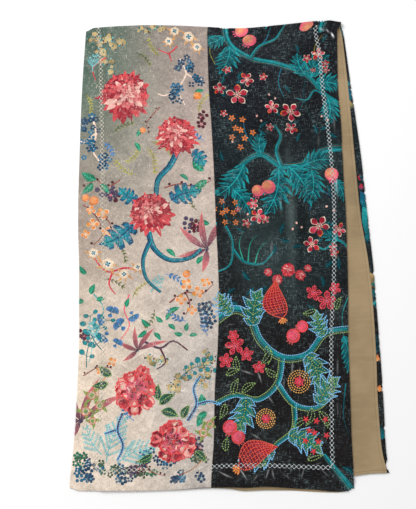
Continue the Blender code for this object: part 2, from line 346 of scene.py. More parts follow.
# The points along a crease: how far apart, and where across it, in shares of its half width
CREASE_STEP = 2.6
CREASE_SHARES = (-1.8, -1.0, -0.5, 0.0, 0.5, 1.0, 1.8)


def crease_points(creases):
    """Extra points of the cloth along the creases, so that its faces can follow them."""
    found = []
    for at_across, at_along, half_length, turn, bend, half_width, _ in creases:
        count = max(int(2.0 * half_length / CREASE_STEP), 4)
        for k in range(count + 1):
            down = 2.0 * k / count - 1.0
            middle = bend * half_length * (1.0 - down * down)
            for share in CREASE_SHARES:
                side = middle + share * half_width
                x = at_across + down * half_length * math.cos(turn) - side * math.sin(turn)
                y = at_along + down * half_length * math.sin(turn) + side * math.cos(turn)
                found.append((x, y))
    return found


def place(across, along, depth):
    """Points of the cloth where they lie, in metres in the part's frame."""
    across, along, depth = (np.array(a, float) for a in np.broadcast_arrays(across, along, depth))
    cos, sin = math.cos(FOLD_TILT), math.sin(FOLD_TILT)
    on_line = across * cos + along * sin
    past = along * cos - across * sin
    distance = np.maximum(past - FOLD_ARC, 0.0)
    on_front = past <= 0.0
    on_back = past >= FOLD_ARC
    shift = np.where(
        on_back,
        sideways(BACK_CURVES, across, distance),
        sideways(FRONT_CURVES, across, np.maximum(-past, 0.0)),
    )
    on_line = on_line + shift

    # Height of the front leaf over the back leaf, or over the floor outside it
    back_past = FOLD_ARC - past
    back_across = on_line * cos - back_past * sin
    back_along = on_line * sin + back_past * cos
    beyond_edge = -HALF_WIDTH + BACK_CURVES[1](back_along) - back_across
    beyond_hem = back_along - BACK_HEM_CURVES[2](back_across)
    outside = np.maximum(beyond_edge, beyond_hem)
    rest = REST_HEIGHT * (1.0 - smooth((outside - EASE_START) / EASE_LENGTH))
    centre = VELVET_OUTER + FOLD_INNER_RADIUS
    crest = centre + FOLD_INNER_RADIUS
    near_fold = smooth(1.0 + past / FOLD_RISE_LENGTH)
    front_height = rest + (crest - rest) * near_fold + ridge_height(across, along) + depth

    angle = math.pi * np.clip(past / FOLD_ARC, 0.0, 1.0)
    radius = FOLD_INNER_RADIUS + depth
    ahead = np.where(on_front, past, np.where(on_back, -distance, radius * np.sin(angle)))
    arc_height = centre + radius * np.cos(angle)
    height = np.where(on_front, front_height, arc_height)
    bump = FOLD_CURVE(across)
    bump = bump * smooth(1.0 + np.minimum(past, 0.0) / FOLD_BUMP_LENGTH)
    bump = bump * smooth(1.0 - distance / FOLD_BUMP_LENGTH)
    ahead = ahead + bump
    x = on_line * cos - ahead * sin + ORIGIN_X
    y = on_line * sin + ahead * cos + ORIGIN_Y
    return np.stack([x, y, height], axis=-1) * MM


# The thickness of rolled edges and hems
EDGE_RADIUS = 0.5 * VELVET_OUTER
HEM_RADIUS = 0.5 * VELVET_THICKNESS
LINING_RADIUS = 0.5 * LINING_THICKNESS
LIP_RADIUS = 0.5
SEAM_ROUND = 2.0
SEAM_DIP = 1.0
HEM_UNDER = 5.0

# The pressed line along the lining's edges, and the gap between the lining and the turned velvet
LINING_GROOVE = 0.7
LINING_GROOVE_IN = 4.5
LINING_GROOVE_WIDTH = 0.8
LINING_GAP = 0.1


def roll(run, start, radius):
    """Follow a flat run round an edge: how far out it gets, how far it drops, and its angle."""
    over = np.maximum(run - start, 0.0)
    angle = np.minimum(over / radius, math.pi)
    back = np.maximum(over - math.pi * radius, 0.0)
    out = np.minimum(run, start) + radius * np.sin(angle) - back
    return out, radius * (1.0 - np.cos(angle)), angle


def turn_width(across, along):
    """How wide the velvet is turned over the lining's edge."""
    back = BACK_CURVES[4](np.maximum(along - FOLD_ARC, 0.0))
    near_fold = smooth(1.0 + along / FOLD_RISE_LENGTH)
    front = FRONT_TURN + (back - FRONT_TURN) * near_fold
    return np.where(across < 0.0, FRONT_TURN, np.where(along > FOLD_ARC, back, front))


def panel_end(across, along):
    """How far the flat velvet runs from the seam, round its edge to the end of its turn."""
    turned = turn_width(across, along) - EDGE_RADIUS
    flat = HALF_WIDTH - EDGE_RADIUS + math.pi * EDGE_RADIUS + turned
    return flat + 0.5 * math.pi * LIP_RADIUS


def hem_roll(across, along, curves, column, radius):
    """Roll the cloth under at whichever hem it passes."""
    front = curves[0][column](across)
    back = curves[1][column](across)
    hem = np.where(along < 0.0, front, back)
    reach, drop, angle = roll(np.abs(along), hem - radius, radius)
    return np.sign(along) * reach, drop, angle


HEMS = (FRONT_HEM_CURVES, BACK_HEM_CURVES)


def velvet_point(across, along, lift=0.0):
    """A point of a panel's printed side, or this far above it, from flat cloth coordinates."""
    across, along, lift = (np.array(a, float) for a in np.broadcast_arrays(across, along, lift))
    side = np.where(across < 0.0, -1.0, 1.0)
    run = np.abs(across)
    out, drop, angle = roll(run, HALF_WIDTH - EDGE_RADIUS, EDGE_RADIUS)
    lip = run - (panel_end(across, along) - 0.5 * math.pi * LIP_RADIUS)
    lip_angle = np.clip(lip / LIP_RADIUS, 0.0, 0.5 * math.pi)
    out = out + np.maximum(lip, 0.0) - LIP_RADIUS * np.sin(lip_angle)
    depth = VELVET_OUTER - drop + LIP_RADIUS * (1.0 - np.cos(lip_angle))
    near_seam = np.clip(1.0 - run / SEAM_ROUND, 0.0, 1.0)
    depth = depth - SEAM_DIP * (1.0 - np.sqrt(1.0 - near_seam ** 2))
    along, hem_drop, hem_angle = hem_roll(across, along, HEMS, 1, HEM_RADIUS)
    rise = lift * np.cos(hem_angle) - hem_drop
    out = out + rise * np.sin(angle)
    depth = depth + rise * np.cos(angle)
    along = along + np.sign(along) * lift * np.sin(hem_angle)
    return place(side * out, along, depth)


def lining_edge(across, along):
    """How far the lining reaches from the seam before it meets the turned velvet."""
    return HALF_WIDTH - turn_width(across, along) - LINING_GAP


def lining_groove(inside):
    """How deep the pressed line is at a distance in from the lining's edge."""
    return LINING_GROOVE * np.exp(-(((inside - LINING_GROOVE_IN) / LINING_GROOVE_WIDTH) ** 2))


def lining_point(across, along):
    """A point of the lining's plain side, from flat cloth coordinates."""
    across, along = (np.array(a, float) for a in np.broadcast_arrays(across, along))
    side = np.where(across < 0.0, -1.0, 1.0)
    run = np.abs(across)
    edge = lining_edge(across, along)
    out, drop, angle = roll(run, edge - LINING_RADIUS, LINING_RADIUS)
    flat_along = along
    along, hem_drop, _ = hem_roll(across, along, HEMS, 2, LINING_RADIUS)
    hem = np.where(flat_along < 0.0, HEMS[0][2](across), HEMS[1][2](across))
    groove = lining_groove(edge - run) + lining_groove(hem - np.abs(flat_along))
    shown = np.where(flat_along > FOLD_ARC, 1.0, 0.0)
    groove = groove - shown * crease_height(LINING_CREASES, across, flat_along)
    depth = drop + groove + hem_drop * np.cos(angle)
    return place(side * (out - hem_drop * np.sin(angle)), along, depth)


# Inks of the print and colours of the threads, as screen values from 0 to 255
INKS = {
    "crimson": (150, 20, 45),
    "ruby": (190, 32, 55),
    "coral": (226, 78, 84),
    "rose": (238, 128, 128),
    "blush": (252, 206, 192),
    "plum": (84, 22, 40),
    "navy": (14, 62, 94),
    "ocean": (26, 104, 140),
    "teal": (10, 112, 122),
    "lagoon": (32, 158, 160),
    "mint": (52, 196, 160),
    "emerald": (18, 150, 108),
    "leaf": (34, 110, 84),
    "moss": (64, 84, 62),
    "olive": (150, 146, 62),
    "straw": (198, 190, 96),
    "bark": (120, 66, 58),
    "twig": (176, 98, 84),
    "umber": (86, 66, 34),
    "aubergine": (72, 62, 88),
    "peach": (250, 176, 112),
    "orange": (240, 132, 52),
    "cream": (246, 232, 208),
    "ochre": (190, 160, 104),
    "sand": (212, 192, 140),
    "fern": (118, 196, 200),
    "cornflower": (92, 138, 196),
    "berry": (240, 96, 122),
    "shade": (12, 46, 52),
    "deep": (10, 64, 74),
    "thread_blue": (128, 206, 255),
    "thread_green": (142, 180, 84),
    "thread_lime": (160, 196, 96),
    "thread_red": (252, 36, 46),
    "thread_pink": (244, 92, 140),
    "thread_flame": (252, 78, 34),
    "thread_gold": (255, 186, 74),
    "thread_white": (206, 214, 216),
    "thread_beige": (220, 212, 196),
}


def linear(screen):
    """A colour of light from screen values."""
    share = np.array(screen, float) / 255.0
    return np.where(share <= 0.04045, share / 12.92, ((share + 0.055) / 1.055) ** 2.4)


LIGHT = {name: linear(value) for name, value in INKS.items()}


def spin(points, x, y, turn):
    """Turn points about the origin and move them to their place."""
    cos = math.cos(turn)
    sin = math.sin(turn)
    return [(x + cos * px - sin * py, y + sin * px + cos * py) for px, py in points]


def polar(x, y, away, heading):
    """The point this far from another one in a heading."""
    return x + away * math.cos(heading), y + away * math.sin(heading)


def ring_of(r, corners, squash=1.0):
    """The corners of a round outline about the origin."""
    turns = [2 * math.pi * i / corners for i in range(corners)]
    return [(r * math.cos(turn), squash * r * math.sin(turn)) for turn in turns]


def through(points, steps=5):
    """A smooth curve through a few points."""
    line = []
    for i in range(len(points) - 1):
        p1, p2 = points[i], points[i + 1]
        p0 = points[i - 1] if i > 0 else p1
        p3 = points[i + 2] if i + 2 < len(points) else p2
        for k in range(steps):
            t = k / steps
            blend = (
                -0.5 * t ** 3 + t ** 2 - 0.5 * t,
                1.5 * t ** 3 - 2.5 * t ** 2 + 1.0,
                -1.5 * t ** 3 + 2.0 * t ** 2 + 0.5 * t,
                0.5 * t ** 3 - 0.5 * t ** 2,
            )
            line.append(tuple(
                sum(b * p[axis] for b, p in zip(blend, (p0, p1, p2, p3))) for axis in (0, 1)
            ))
    line.append(tuple(points[-1][:2]))
    return line


def route_line(route, steps):
    """A smooth line through the places of a route, each given as across and down."""
    return through([(x, -down) for x, down in route], steps)


def normals(line):
    """The direction to the left of a line at each of its points."""
    found = []
    for i in range(len(line)):
        a = line[max(i - 1, 0)]
        b = line[min(i + 1, len(line) - 1)]
        dx, dy = b[0] - a[0], b[1] - a[1]
        length = math.hypot(dx, dy) or 1.0
        found.append((-dy / length, dx / length))
    return found


def petal(length, width, notch=0.05, belly=0.62):
    """The outline of a petal that points along +x from the origin."""
    steps = 5
    power = math.log(0.5) / math.log(belly)
    upper = []
    for i in range(1, steps + 1):
        t = i / (steps + 0.55)
        half = 0.5 * width * math.sin(math.pi * t ** power) ** 0.85
        upper.append((length * t, half))
    return [(0.0, 0.0)] + upper + [(length * (1.0 - notch), 0.0)] + [(x, -y) for x, y in upper[::-1]]


def blade(length, width, bend=0.0, belly=0.42, steps=6):
    """The outline of a leaf that points along +x, and its middle line."""
    power = math.log(0.5) / math.log(belly)
    upper, lower, middle = [], [], [(0.0, 0.0)]
    for i in range(1, steps):
        t = i / steps
        half = 0.5 * width * math.sin(math.pi * t ** power)
        rise = bend * length * 4.0 * t * (1.0 - t)
        upper.append((length * t, rise + half))
        lower.append((length * t, rise - half))
        middle.append((length * t, rise))
    middle.append((length, 0.0))
    return [(0.0, 0.0)] + upper + [(length, 0.0)] + lower[::-1], middle


def turning(points):
    """Twice the area inside an outline, negative where it runs clockwise."""
    following = points[1:] + points[:1]
    return sum(ax * by - bx * ay for (ax, ay), (bx, by) in zip(points, following))


class Pattern:
    """Flat shapes in painting order, and the stitches sewn over them."""

    def __init__(self, seed):
        self.rng = random.Random(seed)
        self.shapes = []
        self.tones = []
        self.stitches = []

    def paint(self, points, ink, other=None, start=None, end=None, vary=0.08, radius=None):
        """Fill an outline with one ink, or with a blend of two from start to end."""
        if turning(points) < 0.0:
            points = points[::-1]
        bright = 1.0 + self.rng.uniform(-vary, vary)
        first = LIGHT[ink] * bright
        last = LIGHT[other or ink] * bright
        x, y = start or points[0]
        if radius:
            tone = (*first, *last, x, y, 1.0 / radius, 0.0, 1.0)
        else:
            ex, ey = end or points[len(points) // 2]
            dx, dy = ex - x, ey - y
            size = dx * dx + dy * dy or 1.0
            tone = (*first, *last, x, y, dx / size, dy / size, 0.0)
        self.shapes.append(points)
        self.tones.append(tone)

    def dot(self, x, y, r, ink, other=None, corners=7, squash=1.0, turn=0.0):
        """A round or oval spot, blended outwards."""
        outline = spin(ring_of(r, corners, squash), x, y, turn)
        self.paint(outline, ink, other, start=(x, y), radius=r)

    def strip(self, line, start_width, end_width, ink, other=None, shift=0.0, piece=4):
        """A stroke along a line, in short pieces so that it may bend."""
        sides = normals(line)
        last = len(line) - 1
        edges = []
        for i, ((x, y), (nx, ny)) in enumerate(zip(line, sides)):
            width = start_width + (end_width - start_width) * i / last
            low = shift * width - 0.5 * width
            high = shift * width + 0.5 * width
            edges.append(((x + nx * high, y + ny * high), (x + nx * low, y + ny * low)))
        for i in range(0, last, piece):
            part = edges[i:min(i + piece, last) + 1]
            outline = [a for a, _ in part] + [b for _, b in part[::-1]]
            self.paint(outline, ink, other, start=line[0], end=line[-1], vary=0.05)

    def clear(self, points):
        """Take out the stitches inside an outline, before another motif is sewn there."""
        following = points[1:] + points[:1]
        low_x, high_x = min(p[0] for p in points), max(p[0] for p in points)
        low_y, high_y = min(p[1] for p in points), max(p[1] for p in points)

        def inside(x, y):
            """Whether a point lies inside the outline."""
            if not (low_x < x < high_x and low_y < y < high_y):
                return False
            crossings = 0
            for (ax, ay), (bx, by) in zip(points, following):
                if (ay > y) != (by > y) and x < ax + (bx - ax) * (y - ay) / (by - ay):
                    crossings += 1
            return crossings % 2 == 1

        self.stitches = [s for s in self.stitches if not inside(s[0], s[1])]

    def thread(self, line, ink, closed=False, step=4.8, length=4.2, width=2.1):
        """Running stitches along a line."""
        points = list(line) + ([line[0]] if closed else [])
        walked = 0.5 * step
        passed = 0.0
        for (ax, ay), (bx, by) in zip(points, points[1:]):
            span = math.hypot(bx - ax, by - ay)
            if span == 0.0:
                continue
            while walked <= passed + span:
                t = (walked - passed) / span
                x, y = ax + (bx - ax) * t, ay + (by - ay) * t
                turn = math.atan2(by - ay, bx - ax) + self.rng.uniform(-0.08, 0.08)
                size = self.rng.uniform(0.9, 1.08)
                self.stitches.append((x, y, turn, length * size, width, ink))
                walked += step
            passed += span


def dahlia(pattern, x, y, r, turn, tones=("plum", "crimson", "coral", "rose", "blush"), rings=6):
    """A full flower of many narrow ragged petals, its heart a little to one side."""
    rng = pattern.rng
    shadow, dark, mid, light, pale = tones
    for k in range(rings):
        share = 1.0 - k / rings
        reach = r * (0.08 + 0.92 * share)
        count = 7 + round(15 * share)
        cx, cy = polar(x, y, 0.2 * r * (1.0 - share), turn)
        pattern.dot(cx, cy, 0.84 * reach, shadow, dark, corners=16)
        for j in range(count):
            heading = turn + (j + 0.5 * (k % 2) + rng.uniform(-0.2, 0.2)) * 2.0 * math.pi / count
            low_side = -math.sin(heading)
            length = reach * rng.uniform(0.82, 1.08) * (1.0 + 0.1 * low_side)
            width = 2.0 * math.pi * reach / count * rng.uniform(0.68, 0.98)
            tip = polar(cx, cy, length, heading)
            first, last = (dark, light) if share < 0.6 else (shadow, mid)
            if rng.random() < 0.3 + 0.14 * low_side:
                first, last = (mid, dark)
            if rng.random() < 0.2 and share < 0.9:
                first, last = (mid, pale)
            outline = petal(length, width, notch=rng.uniform(-0.08, 0.04), belly=0.7)
            pattern.paint(spin(outline, cx, cy, heading), first, last, start=(cx, cy), end=tip)
            for side, inks in ((-0.3, (shadow, dark)), (0.0, (pale, light, light, mid))):
                streak_length = length * rng.uniform(0.4, 0.66)
                streak, _ = blade(streak_length, width * rng.uniform(0.2, 0.32), belly=0.55, steps=4)
                side = (side + rng.uniform(-0.08, 0.08)) * width
                root = length * rng.uniform(0.24, 0.36)
                sx = cx + root * math.cos(heading) - side * math.sin(heading)
                sy = cy + root * math.sin(heading) + side * math.cos(heading)
                end = spin([(length * 0.7, 0.0)], sx, sy, heading)[0]
                streak = spin(streak, sx, sy, heading + rng.uniform(-0.12, 0.12))
                pattern.paint(streak, rng.choice(inks), last, start=(sx, sy), end=end)
    for j in range(7):
        heading = turn + j * 0.9
        away = r * 0.1 * (j % 2)
        outline, _ = blade(r * 0.2, r * 0.06, bend=0.3, steps=3)
        pattern.paint(spin(outline, cx + away, cy - away, heading), pale, "ruby")


ROSETTE_INKS = (("plum", "crimson"), ("crimson", "coral"), ("plum", "rose"), ("coral", "blush"))
ROSETTE_STREAKS = (
    # place along the petal, size, inks
    (0.42, 0.52, ("blush", "plum", "rose")),
    (0.62, 0.26, ("plum", "crimson", "cream")),
)


def sewn_rosette(pattern, x, y, r, turn):
    """A full flower with ragged lobes, outlined in red and pink thread."""
    rng = pattern.rng
    for share, count in ((1.0, 9), (0.74, 7), (0.46, 5)):
        for j in range(count):
            heading = turn + (j + rng.uniform(-0.2, 0.2)) * 2.0 * math.pi / count + share
            length = r * share * rng.uniform(0.74, 1.16)
            width = 2.0 * math.pi * r * share * 0.9 / count * rng.uniform(0.8, 1.15)
            outline = spin(petal(length, width, notch=0.16, belly=0.74), x, y, heading)
            first, last = rng.choice(ROSETTE_INKS)
            pattern.paint(outline, first, last, start=(x, y), end=polar(x, y, length, heading))
            pattern.clear(outline)
            for reach, size, inks in ROSETTE_STREAKS:
                inner = petal(length * size, width * size * 1.1, notch=0.0)
                inner = spin([(px + length * reach, py) for px, py in inner], x, y, heading)
                pattern.paint(inner, rng.choice(inks), "coral")
            ink = "thread_red" if share > 0.5 else "thread_pink"
            pattern.thread(outline[2:-1], ink, step=4.0, length=4.0, width=2.5)
            if share < 0.6:
                middle = [polar(x, y, length * t, heading) for t in (0.3, 0.9)]
                pattern.thread(middle, rng.choice(("thread_pink", "thread_red")), step=4.4, width=1.6)
    pattern.dot(x, y, r * 0.1, "plum", "coral")


def blossom(pattern, x, y, r, turn, tones=("cream", "crimson", "ruby", "orange"), petals=5, sewn=None):
    """A flower of four to six parted petals, dark with a thin pale or orange rim on one side."""
    rim, heart, fill, glow = tones
    rng = pattern.rng
    for j in range(petals):
        heading = turn + j * 2.0 * math.pi / petals + rng.uniform(-0.1, 0.1)
        length = r * rng.uniform(0.9, 1.08)
        width = length * (2.9 if petals == 5 else 3.3) / petals
        tip = polar(x, y, length, heading)
        edge = glow if j % 4 == 1 else rim
        outline = spin(petal(length, width, notch=-0.02, belly=0.66), x, y, heading)
        pattern.paint(outline, fill, edge, start=(x, y), end=tip)
        lean = rng.choice((-1.0, 1.0)) * 0.07 * width
        inner = petal(length * 0.88, width * 0.86, notch=0.04, belly=0.66)
        inner = spin([(px + 0.06 * length, py + lean) for px, py in inner], x, y, heading)
        inks = ("berry", fill) if glow == "orange" and rng.random() < 0.22 else (fill, heart)
        pattern.paint(inner, *inks, start=(x, y), end=tip)
        for side in (-0.17, 0.1):
            streak, _ = blade(length * 0.44, width * 0.11, steps=3)
            streak = spin([(px + 0.1 * length, py + side * width) for px, py in streak], x, y, heading)
            pattern.paint(streak, rim, fill)
        if sewn:
            pattern.clear(outline)
            pattern.thread(outline[1:], sewn[0], step=3.8, length=3.8, width=2.2)
            pattern.thread([(x, y), tip], sewn[1], step=3.6, length=3.4, width=1.6)
    pattern.dot(x, y, r * 0.1, heart, rim, corners=6)


def star(pattern, x, y, r, turn, ink, heart):
    """A small flower of five narrow petals, dark at its heart."""
    for j in range(5):
        heading = turn + j * 2.0 * math.pi / 5
        outline, _ = blade(r, r * 0.5, belly=0.4, steps=4)
        tip_x, tip_y = polar(x, y, r, heading)
        end = (0.55 * tip_x + 0.45 * x, 0.55 * tip_y + 0.45 * y)
        pattern.paint(spin(outline, x, y, heading), heart, ink, start=(x, y), end=end)
    pattern.dot(x, y, r * 0.16, "straw", heart, corners=5)


def leaf(pattern, x, y, length, width, turn, tones, sewn=None):
    """A plain leaf: two halves, a middle vein and side veins."""
    dark, light, vein = tones
    outline, middle = blade(length, width, 0.08)
    outline = spin(outline, x, y, turn)
    middle = spin(middle, x, y, turn)
    pattern.paint(outline, dark, light, start=outline[0], end=middle[-1])
    half = outline[:len(outline) // 2 + 1] + middle[1:-1][::-1]
    pattern.paint(half, light, dark, start=outline[0], end=middle[-1])
    pattern.strip(middle, width * 0.09, width * 0.03, vein, piece=6)
    for i in range(1, len(middle) - 1):
        for side in (-1.0, 1.0):
            mx, my = middle[i]
            heading = turn + side * 0.75
            reach = 0.36 * width * math.sin(math.pi * i / (len(middle) - 1))
            pattern.strip([(mx, my), polar(mx, my, reach, heading)], width * 0.06, width * 0.02, vein)
    if sewn:
        pattern.clear(outline)
        pattern.thread(outline, sewn[0], closed=True)
        pattern.thread(middle, sewn[1])


def lobed_leaf(pattern, x, y, length, width, turn, tones, lobes=4, rounded=False, sewn=None):
    """A broad leaf cut into lobes along both sides."""
    dark, mid, light = tones
    middle = [(length * t / 12.0, 0.1 * length * 4.0 * t / 12.0 * (1.0 - t / 12.0)) for t in range(13)]
    sides = normals(middle)

    def off(t, reach, forward=0.0):
        """A point at a share of the middle line, then this far to its side and forward."""
        i = min(max(t, 0.0), 0.9999) * 12.0
        k = int(i)
        mx = middle[k][0] + (middle[k + 1][0] - middle[k][0]) * (i - k)
        my = middle[k][1] + (middle[k + 1][1] - middle[k][1]) * (i - k)
        nx, ny = sides[k]
        return mx + nx * reach + ny * forward, my + ny * reach - nx * forward

    def outline_of(size):
        """The leaf's outline, its lobes at a share of their full reach."""
        points = []
        for side in (1.0, -1.0):
            edge = []
            for j in range(lobes):
                low = j / (lobes + 0.8)
                step = 1.0 / (lobes + 0.8)
                reach = 0.5 * width * size * math.sin(math.pi * (low + 0.6 * step) ** 0.75) + 0.06 * width
                edge.append(off(low + 0.02, side * 0.26 * reach))
                edge.append(off(low + 0.05, side * 0.66 * reach))
                if rounded:
                    edge.append(off(low + 0.35 * step, side * 0.98 * reach, 0.10 * reach))
                    edge.append(off(low + 0.70 * step, side * 1.00 * reach, 0.22 * reach))
                else:
                    edge.append(off(low + 0.30 * step, side * 0.80 * reach, 0.20 * reach))
                    edge.append(off(low + 0.62 * step, side * 1.12 * reach, 0.42 * reach))
                edge.append(off(low + 0.80 * step, side * 0.56 * reach, 0.1 * reach))
            if side > 0.0:
                points += edge + [off(0.90, 0.10 * width * size), (length * (0.80 + 0.2 * size), 0.0)]
            else:
                points += [off(0.90, -0.10 * width * size)] + edge[::-1]
        return points

    outer = spin(outline_of(1.0), x, y, turn)
    root, tip = (x, y), spin([(length, 0.0)], x, y, turn)[0]
    pattern.paint(outer, dark, mid, start=root, end=tip)
    inner = spin(outline_of(0.66), x, y, turn)
    pattern.paint(inner, mid, light, start=root, end=tip)
    if sewn:
        pattern.clear(outer)
    line = spin(middle, x, y, turn)
    for j in range(lobes):
        t = (j + 0.35) / (lobes + 0.8)
        for side in (1.0, -1.0):
            reach = 0.42 * width * math.sin(math.pi * (t + 0.05) ** 0.75)
            vein = [off(t, 0.0), off(t + 0.08, side * 0.5 * reach), off(t + 0.12, side * reach, 0.2 * reach)]
            vein = spin(vein, x, y, turn)
            pattern.strip(through(vein, 3), width * 0.045, width * 0.012, light if j % 2 else dark)
            if sewn:
                pattern.thread(vein, sewn[1], step=4.2)
    pattern.strip(line, width * 0.07, width * 0.02, dark, piece=6)
    if sewn:
        pattern.thread(outer, sewn[0], closed=True, step=4.0, length=4.4, width=2.6)
        pattern.thread(inner, sewn[1], closed=True, width=1.6)
        pattern.thread(line, sewn[1])


def branch(pattern, route, start_width, end_width, tones=("deep", "teal", "lagoon", "umber"), sewn=None):
    """A limb along a few chosen points, with a lit side and grain."""
    edge, body, light, grain = tones
    line = route_line(route, 6)
    pattern.strip(line, start_width, end_width, edge)
    pattern.strip(line, start_width * 0.74, end_width * 0.6, body, light, shift=0.08)
    pattern.strip(line, start_width * 0.2, end_width * 0.2, light, body, shift=1.1)
    pattern.strip(line, start_width * 0.12, end_width * 0.08, edge, shift=-0.6)
    pattern.strip(line, start_width * 0.12, end_width * 0.1, grain, shift=-2.6)
    if sewn:
        sides = normals(line)
        for side, ink in ((1.0, sewn[0]), (-1.0, sewn[1])):
            rim = []
            for i, ((x, y), (nx, ny)) in enumerate(zip(line, sides)):
                width = start_width + (end_width - start_width) * i / (len(line) - 1)
                rim.append((x + side * nx * 0.5 * width, y + side * ny * 0.5 * width))
            pattern.thread(rim, ink, step=4.2, length=4.3, width=2.4)


def twig(pattern, route, width, tones=("bark", "twig"), buds=0):
    """A thin twig along a few chosen points, with dark buds on alternate sides."""
    line = route_line(route, 4)
    pattern.strip(line, width, width * 0.45, tones[0])
    pattern.strip(line, width * 0.5, width * 0.2, tones[1], shift=0.3)
    for k in range(buds):
        x, y = line[(k + 1) * (len(line) - 1) // buds]
        side = 1.0 if k % 2 else -1.0
        pattern.dot(x + side * width, y + width, width * 0.9, "plum", corners=6)


def stem(pattern, route, start_width, end_width, ink, other, steps=4):
    """A plain tapering stroke along a few chosen points."""
    pattern.strip(route_line(route, steps), start_width, end_width, ink, other)


def sprig(pattern, x, y, length, turn, pairs, leaf_length, leaf_width, tones):
    """A stem with leaflets in pairs."""
    dark, light = tones
    _, middle = blade(length, 1.0, 0.12, steps=max(pairs + 1, 3))
    line = spin(middle, x, y, turn)
    pattern.strip(line, 1.6, 0.8, dark, piece=6)
    for i in range(1, len(line)):
        for side in (-1.0, 1.0):
            heading = turn + side * pattern.rng.uniform(0.6, 0.95)
            outline, _ = blade(leaf_length * pattern.rng.uniform(0.8, 1.1), leaf_width, steps=4)
            pattern.paint(spin(outline, *line[i], heading), dark, light)
    outline, _ = blade(leaf_length, leaf_width, steps=4)
    pattern.paint(spin(outline, *line[-1], turn), dark, light)


def fern(pattern, x, y, length, turn, fronds):
    """Soft feathery fronds made of small dabs."""
    rng = pattern.rng
    _, middle = blade(length, 1.0, 0.1, steps=fronds + 1)
    line = spin(middle, x, y, turn)
    pattern.strip(line, 2.2, 1.2, "fern", piece=6)
    for i in range(1, fronds + 1):
        for side in (-1.0, 1.0):
            heading = turn + side * rng.uniform(0.6, 0.85)
            reach = length * 0.5 * (1.0 - i / (fronds + 2.0)) * rng.uniform(0.8, 1.1)
            fx, fy = line[i]
            count = max(int(reach / 3.0), 2)
            for k in range(count):
                along = reach * (k + 0.5) / count
                for lean in (-0.8, 0.0, 0.8):
                    dab, _ = blade(rng.uniform(3.6, 5.4), 1.5, steps=3)
                    at = polar(fx, fy, along, heading)
                    pattern.paint(spin(dab, *at, heading + lean), "fern")


def posy(pattern, x, y, spread, count, r, tones, heart):
    """A loose patch of tiny flowers of four or five dabs."""
    rng = pattern.rng
    for _ in range(count):
        heading = rng.uniform(0.0, 2.0 * math.pi)
        away = math.sqrt(rng.random())
        fx = x + spread[0] * away * math.cos(heading)
        fy = y + spread[1] * away * math.sin(heading)
        size = r * rng.uniform(0.75, 1.15)
        petals = rng.choice((4, 5))
        ink = rng.choice(tones)
        for j in range(petals):
            angle = heading + j * 2.0 * math.pi / petals
            pattern.dot(*polar(fx, fy, size, angle), size * 0.62, ink, corners=6)
        if rng.random() < 0.5:
            pattern.dot(fx, fy, size * 0.3, heart, corners=5)


def fruit(pattern, x, y, r, turn, tones=("berry", "peach", "aubergine"), sewn=None):
    """A round fruit with a small crown."""
    body, glow, crown = tones
    ring = ring_of(r, 14)
    outline = spin(ring, x, y, turn)
    pattern.paint(outline, glow, body, start=(x - 0.3 * r, y + 0.3 * r), radius=1.1 * r)
    for j in range(-1, 2):
        spike, _ = blade(r * 0.55, r * 0.3, steps=4)
        pattern.paint(spin([(px + 0.85 * r, py) for px, py in spike], x, y, turn + 0.35 * j), crown, body)
    if sewn:
        pattern.clear(outline)
        pattern.thread(outline, sewn, closed=True, step=3.4)
        inner = spin([(0.55 * px, 0.55 * py) for px, py in ring], x, y, turn)
        pattern.thread(inner, "thread_pink", closed=True, step=3.6)


def drop_motif(pattern, x, y, length, width, turn):
    """A drop netted all over with flame stitches, with gold stitches on its crown."""

    def rim(t, share):
        """A point of the drop, by shares of its length and of its half width there."""
        half = 0.5 * width * math.sin(math.pi * t ** 0.72)
        return length * t, 0.16 * length * math.sin(math.pi * t) + share * half

    steps = 12
    upper = [rim(k / steps, 1.0) for k in range(steps + 1)]
    lower = [rim(k / steps, -1.0) for k in range(1, steps)]
    outline = spin(upper + lower[::-1], x, y, turn)
    pattern.paint(outline, "plum", "ruby", start=(x, y), end=outline[steps])
    pattern.clear(outline)
    for share in (-0.66, -0.33, 0.0, 0.33, 0.66):
        row = [rim(0.12 + 0.8 * k / steps, share) for k in range(steps + 1)]
        pattern.thread(spin(row, x, y, turn), "thread_flame", step=4.2, length=4.1, width=1.9)
    for k in range(2, 14):
        row = [rim(k / 14.0, share) for share in (-0.95, 0.0, 0.95)]
        pattern.thread(spin(row, x, y, turn), "thread_flame", step=4.2, length=4.1, width=1.7)
    pattern.thread(outline, "thread_flame", closed=True, step=3.8, length=4.0, width=2.6)
    for spread in (-0.9, -0.45, 0.0, 0.45, 0.9):
        heading = turn + math.pi + spread
        crown, _ = blade(0.17 * length, 0.07 * length, steps=4)
        crown = spin(crown, x, y, heading)
        pattern.paint(crown, "ruby", "orange")
        pattern.thread([crown[0], crown[len(crown) // 2]], "thread_gold", step=4.0, length=3.8)


# The cloth as meshes: the spacing of a panel's grid on its leaves, where it rises to the fold,
# on its turned edge, and round its rolled edge, hems and seam
FRONT_GRID = 5.0
BACK_GRID = 9.0
RISE_GRID = 3.0
RISE_GRID_LENGTH = 36.0
TURNED_GRID = 2.5
EDGE_STEPS = 8
HEM_STEPS = 5
SEAM_COLUMNS = (0.0, 0.25, 0.6, 1.0, 1.5, 2.2)

# The first and last rows of the grid, the ends and spacing of the cut outline's long side,
# and how far out the line goes that parts the two leaves
FIRST_ROW = -916.0
LAST_ROW = 908.0
OUTLINE_END = 926.0
OUTLINE_GRID = 4.0
FOLD_LINE_END = 290.0


